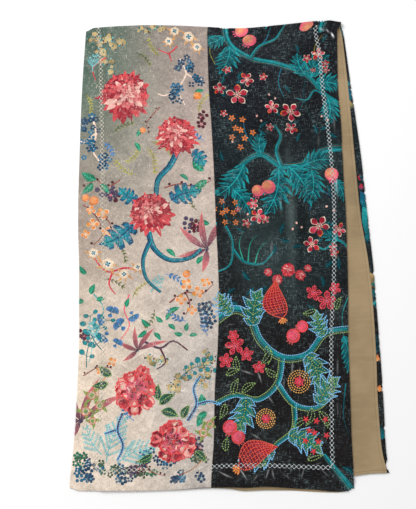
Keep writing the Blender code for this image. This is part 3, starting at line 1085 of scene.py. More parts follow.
def velvet_columns():
    """Where the grid of a panel has its columns, from the seam to the end of the turned edge."""
    start = HALF_WIDTH - EDGE_RADIUS
    flat = np.linspace(SEAM_COLUMNS[-1], start, round((start - SEAM_COLUMNS[-1]) / FRONT_GRID) + 1)
    edge = start + math.pi * EDGE_RADIUS * np.arange(1, EDGE_STEPS + 1) / EDGE_STEPS
    return np.concatenate([SEAM_COLUMNS[:-1], flat, edge])


def velvet_rows():
    """Where the grid has its rows, from hem to hem, apart from the rows that follow the hems."""
    front = np.arange(FIRST_ROW, -RISE_GRID_LENGTH, FRONT_GRID)
    rise = np.arange(-RISE_GRID_LENGTH, 0.0, RISE_GRID)
    fold = np.arange(0.0, FOLD_ARC, 1.0)
    back = np.arange(FOLD_ARC, LAST_ROW, BACK_GRID)
    return np.concatenate([front, rise, fold, back])


def hem_ends(across, end):
    """The flat length at which a panel's cloth ends beyond a hem: 0 is the front one."""
    return HEMS[end][1](across) + (math.pi - 1.0) * HEM_RADIUS + HEM_UNDER


def panel_domain(side):
    """The flat outline of a panel, and the points of its grid."""
    columns = velvet_columns()
    rows = velvet_rows()
    ends = columns[-1]
    creased = [
        (x, y) for x, y in crease_points(CREASES)
        if 0.0 < side * x < HALF_WIDTH - 2.0 and y > FIRST_ROW
    ]
    lip = np.linspace(0.0, 0.5 * math.pi * LIP_RADIUS, 4)
    grid = creased + [(side * run, along) for along in rows for run in columns]
    for along in rows:
        band = panel_end(side * HALF_WIDTH, along) - lip[-1] - ends
        steps = max(round(float(band) / TURNED_GRID), 1)
        turned = [ends + band * k / steps for k in range(1, steps + 1)]
        turned += [ends + band + x for x in lip[1:-1]]
        grid += [(side * run, along) for run in turned]
    for run in np.append(columns, ends + 3.0):
        for end, sign in ((0, -1.0), (1, 1.0)):
            hem = float(HEMS[end][1](side * run))
            rolled = [hem - HEM_RADIUS + math.pi * HEM_RADIUS * k / HEM_STEPS for k in range(HEM_STEPS + 1)]
            grid += [(side * run, sign * along) for along in rolled]
    across = np.concatenate([columns, [ends + 2.0]])
    front = [(side * run, -float(hem_ends(side * run, 0))) for run in across]
    back = [(side * run, float(hem_ends(side * run, 1))) for run in across[::-1]]
    edge_rows = np.arange(-OUTLINE_END, OUTLINE_END, OUTLINE_GRID)
    edge = [(side * float(panel_end(side * HALF_WIDTH, along)), along) for along in edge_rows]
    outline = front + edge + back
    if side < 0.0:
        outline = outline[::-1]
    return outline, grid


def corner_inks(tones, ids, x, y):
    """The light colour of each flat point, by the tone of the shape it belongs to."""
    tone = tones[ids]
    dx = x - tone[:, 6]
    dy = y - tone[:, 7]
    straight = dx * tone[:, 8] + dy * tone[:, 9]
    around = np.hypot(dx, dy) * tone[:, 8]
    share = np.clip(np.where(tone[:, 10] > 0.5, around, straight), 0.0, 1.0)[:, None]
    return tone[:, :3] * (1.0 - share) + tone[:, 3:6] * share


def ground_inks(patches, x, y):
    """The ground's colour, blended from soft patches of dye and, on the dark ground, of painted light and
    shade.
    """
    total = np.zeros((len(x), 3))
    weights = np.zeros(len(x))
    for across, down, reach_across, reach_down, screen in patches:
        far = ((x - across) / reach_across) ** 2 + ((np.abs(y) - down) / reach_down) ** 2
        weight = np.exp(-far) + 1e-4
        total += weight[:, None] * linear(screen)
        weights += weight
    return total / weights[:, None]


def new_object(name, data):
    """A scene object that holds a mesh, a lamp or a camera."""
    holder = bpy.data.objects.new(name, data)
    bpy.context.scene.collection.objects.link(holder)
    return holder


def new_mesh(name, points, faces, colours=None, maps=()):
    """A smooth mesh object with colours and texture maps given for each face corner."""
    mesh = bpy.data.meshes.new(name)
    corners = np.array(faces, np.int32)
    count, size = corners.shape
    mesh.vertices.add(len(points))
    mesh.vertices.foreach_set("co", np.asarray(points, np.float32).ravel())
    mesh.loops.add(count * size)
    mesh.loops.foreach_set("vertex_index", corners.ravel())
    mesh.polygons.add(count)
    mesh.polygons.foreach_set("loop_start", np.arange(0, count * size, size, dtype=np.int32))
    for map_name, values in maps:
        layer = mesh.uv_layers.new(name=map_name)
        layer.data.foreach_set("uv", np.asarray(values, np.float32).ravel())
    if colours is not None:
        attribute = mesh.color_attributes.new("print", "FLOAT_COLOR", "CORNER")
        whole = np.concatenate([colours, np.ones((len(colours), 1))], axis=1)
        attribute.data.foreach_set("color", whole.astype(np.float32).ravel())
    mesh.update(calc_edges=True)
    mesh.validate()
    mesh.shade_smooth()
    return new_object(name, mesh)


# The map for baking: its size in flat cloth, a margin, and the share of it for one leaf
CHART_WIDTH = 300.0
CHART_LENGTH = 945.0
CHART_MARGIN = 2.0
CHART_SHARE = 0.49


def chart_map(across, along, middle):
    """Where a face corner lies in the map for baking: the front leaf left, the back leaf right."""
    front = middle <= 0.0
    u = (np.abs(across) + CHART_MARGIN) / CHART_WIDTH * CHART_SHARE
    v = (np.abs(along) + CHART_MARGIN) / CHART_LENGTH
    return np.stack([np.where(front, u, 1.0 - u), v], axis=-1)


# Painted light and shade on the fine creases, for each millimetre of height: each crease's upper side is
# painted lighter and its lower side darker by its slope, read this far apart, and its crest is painted
# paler, partly as pressed nap and partly as a painted highlight
PAINTED_CREASE_SHADE = 0.22
PAINTED_CREST_HIGHLIGHT = {-1.0: 0.05, 1.0: 0.1}
PAINTED_SHADE_SHIFT = 1.1


# A point of the print this near the straight line between its neighbours is left out,
# where the edge that takes its place stays short enough to follow the folds
STRAIGHT = 0.03
LONGEST_JOINED = 5.0


def seen_edges(shapes):
    """Points and edges where the print changes, without what lies under later shapes."""
    points, faces = [], []
    for shape in shapes:
        faces.append(list(range(len(points), len(points) + len(shape))))
        points += [Vector(p) for p in shape]
    verts, _, triangles, _, _, covers = delaunay_2d_cdt(points, [], faces, 0, 1e-4, True)
    tops = np.array([max(c) if 0 in c else -1 for c in covers])
    corners = np.array(triangles)
    pairs = np.sort(np.concatenate([corners[:, [0, 1]], corners[:, [1, 2]], corners[:, [2, 0]]]), axis=1)
    owners = np.tile(tops, 3)
    order = np.lexsort((pairs[:, 1], pairs[:, 0]))
    pairs, owners = pairs[order], owners[order]
    shared = np.flatnonzero((pairs[1:] == pairs[:-1]).all(axis=1))
    alone = np.ones(len(pairs), bool)
    alone[shared] = alone[shared + 1] = False
    changes = shared[owners[shared] != owners[shared + 1]]
    seen = np.concatenate([pairs[changes], pairs[alone & (owners >= 0)]])
    links = {}
    for a, b in seen.tolist():
        links.setdefault(a, []).append(b)
        links.setdefault(b, []).append(a)
    for v in list(links):
        if len(links[v]) != 2:
            continue
        a, b = links[v]
        if b in links[a] or (verts[v] - verts[a]).dot(verts[b] - verts[v]) <= 0.0:
            continue
        chord = verts[b] - verts[a]
        off_line = abs(chord.cross(verts[v] - verts[a])) / chord.length
        if off_line < STRAIGHT and chord.length < LONGEST_JOINED:
            links[a][links[a].index(v)] = b
            links[b][links[b].index(v)] = a
            del links[v]
    place_of = {v: i for i, v in enumerate(links)}
    edges = [(place_of[a], place_of[b]) for a in links for b in links[a] if a < b]
    return [verts[v] for v in links], edges


def top_shapes(middles, shapes):
    """The number of the last outline over each point, or -1 outside the first one."""
    order = np.argsort(middles[:, 1])
    x, y = middles[order].T
    tops = np.full(len(x), -1)
    for number, shape in enumerate(shapes):
        first, last = np.searchsorted(y, (min(p[1] for p in shape), max(p[1] for p in shape)))
        low, high = min(p[0] for p in shape), max(p[0] for p in shape)
        near = first + np.flatnonzero((x[first:last] > low) & (x[first:last] < high))
        near_x, near_y = x[near], y[near]
        inside = np.zeros(len(near), bool)
        for (ax, ay), (bx, by) in zip(shape, shape[1:] + shape[:1]):
            if ay != by:
                crossed = (ay > near_y) != (by > near_y)
                inside ^= crossed & (near_x < ax + (bx - ax) * (near_y - ay) / (by - ay))
        if number:
            inside &= tops[near] >= 0
        tops[near[inside]] = number
    found = np.empty_like(tops)
    found[order] = tops
    return found


def printed_skin(name, side, pattern, patches, material):
    """A velvet panel's printed side, cut along the outlines of its print."""
    outline, grid = panel_domain(side)
    shapes = [outline] + pattern.shapes
    points, edges = seen_edges(shapes)
    points += [Vector(p) for p in grid]
    points += [Vector((-side, 0.0)), Vector((side * FOLD_LINE_END, 0.0))]
    edges.append((len(points) - 2, len(points) - 1))
    verts, _, triangles, _, _, _ = delaunay_2d_cdt(points, edges, [], 0, 1e-4, True)
    flat = np.array([tuple(v) for v in verts])
    corners = np.array(triangles)
    ids = top_shapes(flat[corners].mean(axis=1), shapes)
    corners, ids = corners[ids >= 0], ids[ids >= 0]
    x = flat[corners, 0].ravel()
    y = flat[corners, 1].ravel()
    middle = np.repeat(flat[corners, 1].mean(axis=1), 3)
    tones = np.array([(0.0,) * 11] + pattern.tones)
    colours = corner_inks(tones, np.repeat(ids, 3), x, y)
    ground = np.repeat(ids, 3) == 0
    colours[ground] = ground_inks(patches, x[ground], y[ground])
    # Painted shade and light along the front leaf's creases: lighter on each crease's upper side, darker on
    # its lower side, with a painted highlight on its crest
    front = y < 0.0
    crest = np.where(front, crease_height(CREASES, x, y), 0.0)
    above = np.where(front, crease_height(CREASES, x, y - PAINTED_SHADE_SHIFT), 0.0)
    painted_shade_and_light = 1.0 + PAINTED_CREASE_SHADE * (above - crest) / PAINTED_SHADE_SHIFT
    colours = colours * np.clip(painted_shade_and_light, 0.7, 1.3)[:, None] + PAINTED_CREST_HIGHLIGHT[side] * crest[:, None] ** 3
    cloth = np.stack([x, y], axis=-1) * MM
    maps = (("OFBake", chart_map(x, y, middle)), ("cloth", cloth))
    places = velvet_point(flat[:, 0], flat[:, 1])
    piece = new_mesh(name, places, corners, colours, maps)
    piece.data.materials.append(material)
    return piece


# One stitch's faces, by the numbers of its eight points
STITCH_FACES = (
    (0, 1, 2), (0, 2, 3), (1, 4, 2), (4, 5, 2), (2, 5, 3), (5, 6, 3), (4, 7, 5), (5, 7, 6),
    (0, 3, 1), (1, 3, 4), (4, 3, 6), (4, 6, 7),
)


def sewn_piece(name, stitches, material):
    """All the stitches of a panel as one mesh of short rounded threads on the cloth."""
    data = np.array([s[:5] for s in stitches])
    template = [(-1.0, 0.0, -0.1)]
    for along in (-0.55, 0.55):
        template += [(along, -0.5, -0.1), (along, 0.0, 0.62), (along, 0.5, -0.1)]
    template.append((1.0, 0.0, -0.1))
    shape = np.array(template)
    x, y, turn, length, width = (data[:, i:i + 1] for i in range(5))
    step = shape[:, 0] * 0.5 * length
    side = shape[:, 1] * width
    lift = shape[:, 2] * width
    across = x + step * np.cos(turn) - side * np.sin(turn)
    along = y + step * np.sin(turn) + side * np.cos(turn)
    places = velvet_point(across.ravel(), along.ravel(), lift.ravel())
    starts = np.arange(len(stitches))[:, None, None] * len(shape)
    faces = (starts + np.array(STITCH_FACES)[None]).reshape(-1, 3)
    inks = np.array([LIGHT[s[5]] for s in stitches])
    rng = np.random.default_rng(len(stitches))
    inks = inks * rng.uniform(0.82, 1.12, (len(stitches), 1))
    colours = np.repeat(inks, 3 * len(STITCH_FACES), axis=0)
    piece = new_mesh(name, places, faces, colours)
    piece.data.materials.append(material)
    return piece


def scatter(draw, pattern, rows, **choices):
    """Draw one motif at each row's place; the second number of a row is its distance down."""
    for across, down, *rest in rows:
        draw(pattern, across, -down, *rest, **choices)


def blossom_clump(pattern, x, y, r, turn):
    """Three red blossoms, a small one and their leaves."""
    for away, heading, size in ((0.0, 0.0, 1.0), (1.75, 0.7, 0.72), (1.7, 2.5, 0.62), (2.6, 1.6, 0.42)):
        px, py = polar(x, y, away * r, turn + heading)
        leaf(pattern, px, py, 1.5 * r * size, 0.6 * r, turn + heading + 2.4, ("shade", "deep", "teal"))
        blossom(pattern, px, py, r * size, turn + heading)


def star_clump(pattern, x, y, r, turn, ink="orange", heart="aubergine", count=8, sewn=False):
    """A patch of small five-pointed flowers."""
    for k in range(count):
        away = 0.9 * r * math.sqrt(k)
        heading = turn + 2.4 * k
        px = x + away * math.cos(heading)
        py = y + 1.25 * away * math.sin(heading)
        star(pattern, px, py, 0.62 * r, heading, ink, heart)
        if sewn:
            pattern.clear([polar(px, py, 0.5 * r, k) for k in range(6)])
            for j in range(5):
                tip = polar(px, py, 0.62 * r, heading + j * 0.4 * math.pi)
                pattern.thread([(px, py), tip], "thread_red", step=3.0, length=3.6, width=2.2)


def eyed_flower(pattern, x, y, r, turn, rim="cream", glow="peach"):
    """A round pale flower with a ring of dark dots in its eye."""
    for j in range(6):
        pattern.dot(*polar(x, y, 0.6 * r, turn + j * math.pi / 3.0), 0.46 * r, glow, rim)
    pattern.dot(x, y, 0.72 * r, rim)
    for j in range(4):
        pattern.dot(*polar(x, y, 0.32 * r, turn + j * 0.5 * math.pi), 0.2 * r, "ocean")
    pattern.dot(x, y, 0.16 * r, "lagoon")


def leaf_fan(pattern, x, y, length, width, turn, tones, count=5, spread=2.2, **choices):
    """Narrow leaves that spread from one point."""
    for k in range(count):
        heading = turn + spread * (k / (count - 1.0) - 0.5)
        reach = length * pattern.rng.uniform(0.75, 1.1)
        leaf(pattern, x, y, reach, width, heading, tones, **choices)


def round_spray(pattern, x, y, length, turn):
    """A curving stem with round leaves."""
    size = 9.0
    _, middle = blade(length, 1.0, 0.14, steps=5)
    line = spin(middle, x, y, turn)
    pattern.strip(through(line, 3), 2.0, 1.2, "teal")
    for i in range(1, len(line)):
        for side in (-1.0, 1.0):
            heading = turn + side * 1.2
            reach = size * pattern.rng.uniform(0.9, 1.5)
            at = polar(*line[i], reach, heading)
            r = 0.62 * size * pattern.rng.uniform(0.7, 1.15)
            pattern.dot(*at, r, "lagoon", "teal", corners=9, squash=0.85, turn=heading)
            pattern.strip([line[i], at], 1.2, 0.8, "teal")


def rockwork(pattern, x, y, length, width, turn):
    """A mossy bank: ragged ochre clumps with holes, flecked with teal and dark dots."""
    rng = pattern.rng
    count = max(int(length / 7.0), 4)
    spots = []
    for k in range(count):
        along = length * (k + 0.5) / count
        sway = 0.32 * width * math.sin(1.7 * k + turn)
        px = x + along * math.cos(turn) - sway * math.sin(turn)
        py = y + along * math.sin(turn) + sway * math.cos(turn)
        spots.append((px, py, 0.34 * width * rng.uniform(0.6, 1.15)))
    for px, py, r in spots:
        ring = []
        for i in range(11):
            reach = r * rng.uniform(0.7, 1.25)
            ring.append((reach * math.cos(0.571 * i), 0.8 * reach * math.sin(0.571 * i)))
        clump = spin(ring, px, py, rng.uniform(0.0, 3.0))
        pattern.paint(clump, "ochre", rng.choice(("sand", "sand", "moss")), vary=0.15)
    for px, py, r in spots[::2]:
        pattern.dot(px, py, 0.52 * r, "bark", "sand", corners=7)
        pattern.dot(px, py, 0.34 * r, "sand", "ochre", corners=6)
    for px, py, r in spots:
        for _ in range(8):
            angle = rng.uniform(0.0, 2.0 * math.pi)
            away = r * rng.uniform(0.85, 1.35)
            ink = rng.choice(("lagoon", "teal", "teal", "umber", "fern", "plum"))
            at = polar(px, py, away, angle)
            pattern.dot(*at, rng.uniform(1.0, 2.6), ink, corners=5, squash=0.6, turn=angle + 1.5)


def long_spray(pattern, x, y, length, turn):
    """Narrow pointed leaves, dark at the root and pink towards the tip."""
    for k, spread in enumerate((-0.9, -0.25, 0.5, 1.5, 2.6)):
        heading = turn + spread
        outline, middle = blade(length * (1.0 - 0.11 * k), length * 0.15, 0.05)
        outline = spin(outline, x, y, heading)
        tip = spin(middle, x, y, heading)[-1]
        pattern.paint(outline, "aubergine", "rose", start=(x, y), end=tip)
        pattern.strip(spin(middle, x, y, heading), 1.6, 0.6, "bark", "twig")
    pattern.dot(x, y, length * 0.05, "aubergine")


def butterfly_bloom(pattern, x, y, r, turn):
    """Two broad blue petals over a small one."""
    for spread, size in ((-0.7, 1.0), (0.7, 0.9), (math.pi, 0.6)):
        outline = spin(petal(r * size, r * 1.0 * size, belly=0.66), x, y, turn + spread)
        pattern.paint(outline, "ocean", "cornflower")


def fanned_flower(pattern, x, y, r, turn):
    """An eyed flower over a fan of peach leaves."""
    leaf_fan(pattern, x, y, 2.2 * r, 0.55 * r, turn + 4.0, ("ochre", "peach", "twig"), spread=3.4)
    eyed_flower(pattern, x, y, r, turn)


def ringed_flower(pattern, x, y, r):
    """An eyed flower over a fan of sewn leaves, with a ring of red stitches about it."""
    leaf_fan(
        pattern, x, y, 2.3 * r, 0.7 * r, -0.7 * y, ("olive", "straw", "moss"),
        count=4, spread=4.4, sewn=("thread_green", "thread_green"),
    )
    eyed_flower(pattern, x, y, r, 0.3, rim="blush", glow="coral")
    ring = [polar(x, y, 0.95 * r, 0.5 * k) for k in range(13)]
    pattern.thread(ring, "thread_red", step=2.9, length=2.9, width=1.5)


def stitched_leaf(pattern, x, y, length, width, turn):
    """A leaf in green stitches alone."""
    outline, middle = blade(length, width, 0.1)
    outline = spin(outline, x, y, turn)
    pattern.clear(outline)
    pattern.thread(outline, "thread_green", closed=True)
    pattern.thread(spin(middle, x, y, turn), "thread_green")


# Layout of the pale panel: across and down in millimetres, then size and turn
PALE_DAHLIAS = ((-172, 150, 55, 0.4), (-70, 236, 43, 1.3), (-122, 396, 45, 2.2))
PALE_LIMBS = (
    # start width, end width, and the route as across and down
    (13.0, 9.5, ((-66, 262), (-84, 300), (-108, 330), (-112, 372))),
    (12.0, 7.0, ((-128, 436), (-118, 470), (-90, 492), (-52, 488), (-30, 470))),
    (9.0, 5.0, ((-124, 452), (-140, 492), (-134, 530), (-108, 556))),
)
PALE_LOBED = (
    (-156, 420, 78, 46, 3.7),
    (-84, 372, 62, 40, 0.3),
    (-146, 372, 46, 30, 2.5),
    (-40, 270, 40, 28, -1.0),
)
PALE_TWIGS = (
    (4.5, ((-238, 196), (-228, 232), (-234, 268), (-214, 300))),
    (4.0, ((-228, 232), (-250, 250), (-262, 246))),
    (4.0, ((-58, 72), (-46, 104), (-62, 140), (-50, 172))),
    (3.4, ((-46, 104), (-22, 118), (-8, 112))),
    (3.4, ((-62, 140), (-90, 152), (-104, 148))),
)
PALE_NAVY = (
    # across, down, spread across and along, count, size
    (-236, 214, (20, 20), 13, 4.6),
    (-246, 262, (14, 24), 11, 4.6),
    (-214, 292, (18, 16), 9, 4.4),
    (-48, 84, (24, 16), 14, 4.6),
    (-24, 120, (16, 12), 9, 4.6),
    (-66, 148, (22, 18), 14, 4.6),
    (-104, 872, (36, 20), 15, 5.2),
    (-46, 902, (30, 10), 8, 4.8),
    (-226, 890, (28, 22), 14, 5.2),
    (-160, 896, (24, 14), 10, 5.0),
    (-22, 600, (14, 26), 9, 5.4),
)
PALE_SAGE = (
    (-134, 898, (34, 14), 9, 4.6),
    (-246, 866, (12, 22), 8, 4.4),
    (-190, 886, (26, 14), 8, 4.4),
    (-24, 872, (16, 14), 6, 4.4),
)
PALE_EYED = (
    (-40, 22, 11, 0.2), (-70, 12, 9, 0.5), (-22, 44, 9, 0.1), (-82, 34, 8, 0.9),
    (-206, 500, 11, 0.3), (-176, 520, 9, 0.0), (-232, 478, 9, 0.6), (-150, 506, 8, 0.2),
)
PALE_RED_TWIGS = (
    (4.6, ((-150, 512), (-176, 508), (-206, 516), (-226, 496), (-236, 474))),
    (4.2, ((-196, 514), (-204, 540), (-192, 560))),
    (4.0, ((-64, 44), (-82, 60), (-104, 52))),
    (3.6, ((-82, 60), (-76, 78))),
    (3.6, ((-214, 70), (-240, 92), (-232, 120))),
)
PALE_EMERALD = (
    # across, down, length, width, turn
    (-226, 330, 34, 17, 2.6), (-232, 336, 30, 15, 3.9), (-218, 338, 26, 12, 5.4),
    (-20, 312, 34, 18, 2.2), (-14, 330, 30, 15, 3.6), (-30, 336, 26, 9, 4.6),
    (-90, 300, 22, 8, 0.6), (-66, 318, 22, 8, 5.6),
    (-238, 560, 22, 12, 1.2), (-250, 574, 20, 11, 2.8), (-228, 572, 18, 10, 0.2),
    (-98, 610, 18, 9, 1.0), (-104, 614, 18, 9, 2.4), (-94, 618, 18, 9, 5.6),
    (-60, 632, 18, 9, 1.4), (-66, 638, 18, 9, 2.9), (-54, 640, 16, 8, 0.1),
    (-18, 772, 24, 15, 1.9), (-14, 784, 22, 14, 3.6), (-26, 792, 20, 13, 4.4),
    (-148, 240, 24, 10, 0.9), (-152, 252, 22, 9, 5.2), (-30, 148, 22, 10, 0.4), (-96, 470, 24, 10, 5.5),
    (-172, 586, 20, 9, 1.3), (-128, 622, 22, 10, 2.4), (-134, 630, 22, 10, 3.8), (-120, 634, 20, 9, 5.4),
    (-92, 596, 22, 10, 0.5), (-246, 520, 22, 10, 2.2), (-40, 500, 22, 10, 0.8), (-12, 420, 24, 11, 2.7),
)
PALE_PEACH = (
    # across, down, size, turn
    (-214, 398, 13, 0.4), (-232, 420, 12, 1.7), (-206, 436, 11, 2.6), (-246, 440, 10, 0.2),
    (-60, 540, 12, 0.9), (-38, 556, 12, 2.0), (-70, 570, 11, 0.1), (-24, 536, 10, 1.2),
    (-236, 392, 10, 2.9), (-50, 590, 10, 1.4), (-196, 690, 10, 0.6), (-218, 706, 9, 1.1),
)
PALE_PLUM = (
    # across, down, spread across and along, count, size
    (-196, 352, (20, 14), 4, 8.0), (-16, 206, (8, 14), 3, 6.0), (-46, 424, (20, 16), 5, 7.0),
    (-30, 846, (16, 10), 5, 6.0), (-250, 640, (8, 14), 4, 6.0), (-146, 884, (14, 8), 4, 6.0),
)
PALE_BLUE_BLOOMS = (
    (-200, 596, 16, 1.2), (-226, 610, 15, 0.2), (-182, 622, 17, 2.4), (-212, 640, 16, 4.0),
    (-160, 600, 14, 5.2), (-190, 656, 13, 1.0),
)
PALE_SPRAYS = (
    # across, down, length, turn
    (-250, 800, 96, 1.45), (-20, 470, 86, 1.9), (-150, 668, 60, 1.2),
)
PALE_ROUND_SPRAYS = ((-244, 700, 96, 1.2), (-216, 668, 70, 1.9), (-66, 720, 60, 0.4))
PALE_FERNS = (
    # across, down, length, turn, fronds
    (-196, 876, 92, 1.2, 7), (-176, 878, 78, 0.4, 6), (-206, 862, 66, 2.1, 5), (-240, 100, 40, 1.4, 3),
    (-126, 556, 40, 0.9, 3), (-224, 650, 44, 1.8, 3),
)
PALE_ROCKS = (
    # across, down, length, width, turn
    (-252, 26, 76, 26, -0.25), (-232, 52, 60, 22, -0.9), (-150, 16, 60, 18, 0.2),
    (-16, 668, 70, 24, -1.7), (-40, 700, 62, 26, -2.4), (-92, 690, 40, 20, 3.0),
)
PALE_OLIVE_SPRIGS = (
    # across, down, length, turn, pairs, leaf length, leaf width
    (-120, 250, 44, -0.6, 5, 9, 2.6), (-128, 262, 50, -1.3, 6, 9, 2.6), (-140, 256, 40, -2.2, 5, 9, 2.6),
    (-24, 190, 40, 1.1, 5, 8, 2.4), (-150, 320, 44, 2.5, 5, 9, 2.6), (-160, 566, 40, 0.8, 5, 8, 2.4),
    (-100, 66, 38, 2.2, 5, 8, 2.4), (-250, 150, 36, -1.3, 5, 8, 2.4),
)
PALE_BLUE_SPRIGS = (
    (-216, 250, 30, -0.9, 3, 10, 4.0), (-16, 248, 30, 2.3, 3, 9, 4.0), (-100, 520, 32, -0.5, 3, 10, 4.4),
    (-60, 612, 34, 2.6, 4, 10, 4.4), (-20, 640, 40, 1.7, 4, 11, 5.0), (-150, 800, 34, 2.2, 3, 10, 4.4),
)
PALE_MORE_SPRIGS = (
    (-196, 232, 42, 0.5, 5, 9, 2.8), (-150, 60, 34, -0.7, 4, 8, 2.6), (-36, 392, 36, 1.9, 4, 8, 2.6),
    (-214, 530, 36, -0.4, 4, 8, 2.6), (-120, 590, 34, -2.0, 4, 8, 2.6), (-186, 460, 34, -1.2, 4, 8, 2.6),
)
PALE_BARK_TWIGS = (
    (3.4, ((-180, 330), (-206, 344), (-226, 330), (-246, 344))),
    (3.4, ((-96, 346), (-66, 338), (-34, 344), (-6, 330))),
    (3.2, ((-250, 380), (-226, 404), (-214, 440), (-232, 462))),
    (3.0, ((-226, 404), (-204, 412), (-196, 430))),
    (3.2, ((-92, 576), (-62, 556), (-34, 560), (-10, 540))),
    (3.0, ((-62, 556), (-54, 580), (-62, 600))),
    (2.6, ((-130, 868), (-112, 892), (-84, 900))),
    (2.6, ((-250, 716), (-222, 700), (-196, 702))),
    (2.4, ((-100, 176), (-128, 210), (-122, 232))),
)
PALE_STEMS = (
    # start width, end width, ink, other ink, route
    (3.2, 1.8, "berry", "rose", ((-166, 560), (-176, 590), (-166, 620), (-184, 650))),
    (2.6, 1.4, "lagoon", "fern", ((-232, 560), (-214, 590), (-230, 640), (-240, 690))),
    (5.0, 2.6, "aubergine", "plum", ((-140, 650), (-108, 664), (-84, 650), (-56, 668))),
    (4.0, 2.0, "plum", "aubergine", ((-108, 664), (-96, 690), (-112, 704))),
    (2.6, 1.2, "peach", "twig", ((-206, 716), (-220, 744), (-214, 780))),
    (2.2, 1.2, "bark", "peach", ((-60, 900), (-30, 884), (-12, 862))),
)
PALE_FRUITS = (
    # across, down, size, turn
    (-230, 372, 9, 4.0), (-246, 366, 7, 4.4), (-24, 152, 8, 4.0), (-136, 226, 6, 4.4), (-60, 520, 7, 1.0),
)
SEWN_ROSETTES = ((-152, 742, 46, 0.3), (-74, 838, 43, 1.2))
PALE_SEWN_LEAVES = (
    # across, down, length, width, turn
    (-104, 770, 34, 17, 0.6), (-100, 782, 34, 17, -0.3), (-106, 762, 30, 15, 1.6),
    (-196, 716, 30, 15, 2.5), (-202, 730, 30, 15, 3.3), (-60, 796, 28, 14, 1.1),
    (-112, 862, 30, 13, 3.6), (-34, 856, 28, 13, -0.7),
)
PALE_BLUE_SEWN = (
    (3.4, ((-172, 786), (-180, 816), (-168, 846), (-176, 872))),
    (3.4, ((-50, 800), (-34, 770), (-40, 740), (-28, 716))),
    (3.0, ((-180, 816), (-204, 824))),
    (3.0, ((-34, 770), (-10, 764), (12, 770))),
)
PALE_RINGED = (
    # across, down, size
    (-232, 752, 9), (-216, 772, 8), (-242, 782, 9), (-228, 800, 7), (-20, 822, 8), (-8, 806, 7),
)


def pale_print():
    """The pale panel's print and its embroidery."""
    pattern = Pattern(11)
    scatter(rockwork, pattern, PALE_ROCKS)
    scatter(sprig, pattern, PALE_OLIVE_SPRIGS, tones=("olive", "straw"))
    scatter(sprig, pattern, PALE_MORE_SPRIGS, tones=("moss", "olive"))
    scatter(sprig, pattern, PALE_BLUE_SPRIGS, tones=("cornflower", "ocean"))
    for width, route in PALE_TWIGS:
        twig(pattern, route, width, ("cream", "blush"))
    scatter(posy, pattern, PALE_NAVY, tones=("navy", "navy", "ocean"), heart="fern")
    scatter(posy, pattern, PALE_SAGE, tones=("moss", "leaf"), heart="ochre")
    scatter(posy, pattern, PALE_PLUM, tones=("aubergine", "plum"), heart="berry")
    for width, route in PALE_RED_TWIGS:
        twig(pattern, route, width, ("coral", "ruby"))
    for width, route in PALE_BARK_TWIGS:
        twig(pattern, route, width, buds=5)
    for start, end, ink, other, route in PALE_STEMS:
        stem(pattern, route, start, end, ink, other)
    scatter(fanned_flower, pattern, PALE_EYED)
    scatter(blossom, pattern, PALE_PEACH, tones=("cream", "orange", "peach", "straw"), petals=4)
    scatter(leaf, pattern, PALE_EMERALD, tones=("leaf", "emerald", "mint"))
    scatter(long_spray, pattern, PALE_SPRAYS)
    scatter(butterfly_bloom, pattern, PALE_BLUE_BLOOMS)
    scatter(round_spray, pattern, PALE_ROUND_SPRAYS)
    scatter(fruit, pattern, PALE_FRUITS, tones=("orange", "peach", "moss"))
    scatter(fern, pattern, PALE_FERNS)
    for start, end, route in PALE_LIMBS:
        branch(pattern, route, start, end, ("navy", "ocean", "lagoon", "navy"))
    scatter(lobed_leaf, pattern, PALE_LOBED, tones=("navy", "ocean", "lagoon"), rounded=True)
    scatter(dahlia, pattern, PALE_DAHLIAS)
    threads = ("thread_green", "thread_lime")
    scatter(leaf, pattern, PALE_SEWN_LEAVES, tones=("shade", "leaf", "moss"), sewn=threads)
    tones = ("aubergine", "plum", "ocean", "aubergine")
    for width, route in PALE_BLUE_SEWN:
        branch(pattern, route, width * 1.6, width, tones, sewn=("thread_blue", "thread_blue"))
    scatter(sewn_rosette, pattern, SEWN_ROSETTES)
    scatter(ringed_flower, pattern, PALE_RINGED)
    return pattern


# Layout of the dark panel
DARK_LIMBS = (
    (15.0, 12.0, ((30, -14), (44, 34), (86, 70), (140, 84), (196, 108), (232, 150), (272, 176))),
    (10.0, 4.0, ((86, 70), (104, 40), (138, 22), (150, -8))),
    (17.0, 14.0, (
        (272, 262), (222, 268), (182, 296), (136, 300), (96, 276), (58, 296), (26, 344), (-8, 356),
    )),
    (12.0, 5.0, ((136, 300), (128, 268), (138, 238), (126, 214))),
    (9.0, 4.0, ((30, 470), (52, 496), (88, 500), (112, 476))),
    (8.0, 4.0, ((18, 424), (30, 456), (24, 500), (-4, 516))),
    (8.0, 4.0, ((272, 474), (242, 452), (214, 470), (192, 456))),
    (7.0, 3.0, ((232, 150), (212, 140), (196, 160), (176, 158))),
    (9.0, 19.0, ((206, 862), (226, 888), (250, 918), (262, 940))),
)
DARK_FEATHERS = (
    # across, down, length, width, turn
    (206, 112, 62, 40, 0.9), (216, 124, 58, 36, -0.2), (196, 108, 52, 34, 1.9),
    (150, 302, 92, 52, -1.1), (130, 304, 104, 54, -1.9), (60, 298, 86, 48, -2.3),
    (182, 300, 60, 40, 0.2), (36, 350, 60, 38, -1.0),
    (44, 38, 72, 44, -1.9), (32, 16, 46, 30, -2.7), (238, 158, 56, 36, -1.7), (196, 308, 70, 40, -1.7),
    (242, 452, 54, 32, 2.2), (96, 276, 44, 28, 1.5), (250, 640, 72, 26, -1.5), (244, 330, 46, 26, -1.3),
)
